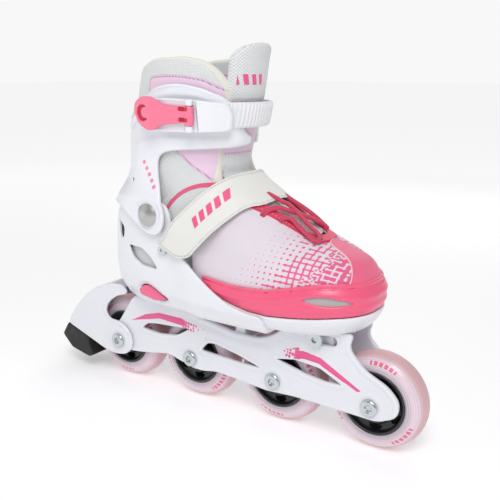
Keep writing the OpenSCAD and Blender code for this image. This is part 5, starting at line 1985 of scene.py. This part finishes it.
    def eyestay_frame(self) -> None:
        """The pink frame round the throat that carries the laces."""
        volume = Volume((4, -29, 134), (78, 29, 182), 0.6)
        d = BOOT.offset(volume)
        true = d / BOOT.steepness(d, volume.step)
        edge = np.maximum(volume.plan(self.eyestay, 5.0), -self.throat(volume))
        edge = np.maximum(edge, volume.h - 90) + 0 * volume.z
        swell = 0.35 * (1 - ramp(-edge, 0.5, 1.4))
        frame_piece = both(both(true - 0.85 - swell, -0.8 - true, 0.3), edge, 0.6)
        marks = {"edge": -edge * np.ones(volume.shape)}
        obj = solid("eyestay_skin", volume, frame_piece, marks)
        dress(obj, PINK_EYESTAY, "pink_trim")
        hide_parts("eyestay")
        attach(obj, "toe")

    def laces(self) -> None:
        """The pink lace, zigzag through the eyestay."""
        for number, strand in enumerate(self.strands, 1):
            path = smooth_path(np.array(strand, float), 9)
            out = np.tile(np.array([0.6, 0.0, 0.8]), (len(path), 1))
            obj = tube(f"lace_strand_{number}", path, out, (1.45, 2.2), 16)
            dress(obj, LACE_BRAID, "lace_cord")
            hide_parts("laces")
            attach(obj, "toe")
        self.stitches()

    def stitches(self) -> None:
        """Light stitches along the eyestay's outer edge."""
        rows = []
        for side in Side:
            edge = [(x, abs(y) - 1.7) for x, y in self.eyestay[1:6]]
            xs = np.linspace(edge[0][0], edge[-1][0] - 1, 60)
            ys = np.interp(xs, [e[0] for e in edge], [e[1] for e in edge])
            rows.append(np.array([BOOT.top(x, side.value * y, 1.05) for x, y in zip(xs, ys)]))
        obj = Stitches(1.5, 2.8, 0.26).build("eyestay_stitches", rows, THREAD_PALE, "pink_trim")
        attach(obj, "toe")


@dataclass
class Stitches:
    """Rows of raised thread stitches that lie on the boot's surface."""

    length: float = 1.7
    pitch: float = 2.9
    radius: float = 0.28

    def row(self, path: Array) -> tuple[list, list]:
        """Capsules along a path, as points and faces."""
        steps = np.linalg.norm(np.diff(path, axis=0), axis=1)
        run = np.concatenate([[0], np.cumsum(steps)])
        points, faces = [], []
        for start in np.arange(self.pitch / 2, run[-1] - self.pitch / 2, self.pitch):
            ends = [
                np.array(
                    [np.interp(start + k, run, path[:, n]) for n in range(3)]
                ) for k in (-self.length / 2, self.length / 2)
            ]
            ahead = (ends[1] - ends[0]) / np.linalg.norm(ends[1] - ends[0])
            side = np.cross(ahead, (0.1, 0.2, 1.0))
            side /= np.linalg.norm(side)
            up = np.cross(side, ahead)
            faces += skin(5, 6, base=len(points))
            for share, size in ((-1.0, 0.35), (-0.8, 0.85), (0.0, 1.0), (0.8, 0.85), (1.0, 0.35)):
                centre = (ends[0] + ends[1]) / 2 + ahead * share * self.length / 2
                for k in range(6):
                    a = k * math.pi / 3
                    points.append(centre + self.radius * size * (math.cos(a) * side + math.sin(a) * up))
        return points, faces

    def build(self, name: str, paths: Sequence[Array], finish: Finish, slot: str) -> bpy.types.Object:
        """One object that holds every row."""
        points, faces = [], []
        for path in paths:
            p, f = self.row(path)
            faces += [tuple(i + len(points) for i in face) for face in f]
            points += p
        obj = mesh_object(name, np.array(points), faces)
        return dress(obj, finish, slot)


# ---------------------------------------------------------------- kept frame parts and the studio


def dress_kept_nodes() -> None:
    """Finishes for the small frame parts that are shown as they are."""
    kept = {
        "zinc_steel": (
            ZINC,
            [
                "axle_nuts", "frame_screws", "toe_slide_bolt", "toe_slide_nut", "strap_screws",
                "buckle_pin", "bearing_spacers", "button_spring", "brake_pad_screw"
            ]
        ),
        "rivet_metal": (RIVET_SATIN, ["cuff_rivets", "ladder_rivet"]),
        "bearing_steel": (BEARING_STEEL, ["bearing_inner_rings"]),
        "insole_foam": (INSOLE_FOAM, ["insole"]),
        "white_shell": (WHITE_SHELL, ["buckle_pawl"]),
    }
    for number in range(1, 5):
        kept["bearing_steel"][1].extend([f"wheel_{number}_outer_rings", f"wheel_{number}_balls"])
    for slot, (finish, nodes) in kept.items():
        for node in nodes:
            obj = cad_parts[node]
            dress(obj, finish, slot)


@dataclass
class Studio:
    """Plain soft light, a pale floor and the camera."""

    target: tuple[float, float, float] = (5.898, 0.0, 125.287)
    camera_place: tuple[float, float, float] = (283.957, -422.740, 252.739)
    lens: float = 50.56
    roll: float = 0.204

    def build(self) -> None:
        """Sets the floor, lights, sky and camera."""
        self.floor()
        self.light("key_light", (420, -620, 900), 0.5, 6.2)
        self.light("fill_light", (-750, -500, 420), 0.9, 1.3)
        self.light("back_light", (-200, 800, 700), 0.8, 2.0)
        scene = bpy.context.scene
        world = bpy.data.worlds.new("pale_room")
        world.use_nodes = True
        sky = Graph(world.node_tree)
        seen = Wire(sky, sky.node("ShaderNodeLightPath").outputs["Is Camera Ray"])
        room = sky.node("ShaderNodeBackground")
        room.inputs[0].default_value = (1.0, 1.0, 1.0, 1)
        sky.feed(room.inputs[1], seen * 0.54 + 0.4)
        sky.tree.links.new(room.outputs[0], sky.node("ShaderNodeOutputWorld").inputs[0])
        scene.world = world
        scene.view_settings.view_transform = "Standard"
        data = bpy.data.cameras.new("camera")
        data.lens, data.sensor_width = self.lens, 36.0
        camera = bpy.data.objects.new("camera", data)
        scene.collection.objects.link(camera)
        place, target = Vector(self.camera_place) * MM, Vector(self.target) * MM
        turn = (target - place).to_track_quat("-Z", "Y").to_matrix().to_4x4()
        camera.matrix_world = Matrix.Translation(place) @ turn @ Matrix.Rotation(
            math.radians(self.roll), 4, "Z"
        )
        scene.camera = camera

    def floor(self) -> None:
        """A wide pale floor whose finish has a painted glow."""
        places = [(x, y, -0.2) for y in (-8000, 20000) for x in (-15000, 15000)]
        faces = [(0, 1, 3, 2)]
        obj = mesh_object("studio_floor", np.array(places), faces)
        obj.data.materials.append(Paper("floor_paper", paint(240, 240, 241), 0.9).material())

    def light(self, name: str, place: tuple[float, float, float], size: float, power: float) -> None:
        """One soft square light aimed at the skate."""
        data = bpy.data.lights.new(name, "AREA")
        data.size, data.energy = size, power
        obj = bpy.data.objects.new(name, data)
        bpy.context.scene.collection.objects.link(obj)
        spot = Vector(place) * MM
        obj.matrix_world = Matrix.Translation(spot) @ (
            Vector(self.target) * MM - spot
        ).to_track_quat("-Z", "Y").to_matrix().to_4x4()


def main() -> None:
    """Builds the skate part by part, from the wheels up."""
    make_groups()
    parts = [
        Wheels(), Frame(), Brake(), HeelShell(), Cuff(), Buckle(), ToeBox(), InstepStrap(), Liner(),
        Tongue()
    ]
    for part in parts:
        part.build()
        LOG.info("built %s", type(part).__name__)
    dress_kept_nodes()
    Studio().build()
    LOG.info("dressed the frame's own parts and set the studio")


if __name__ == "__main__":
    main()
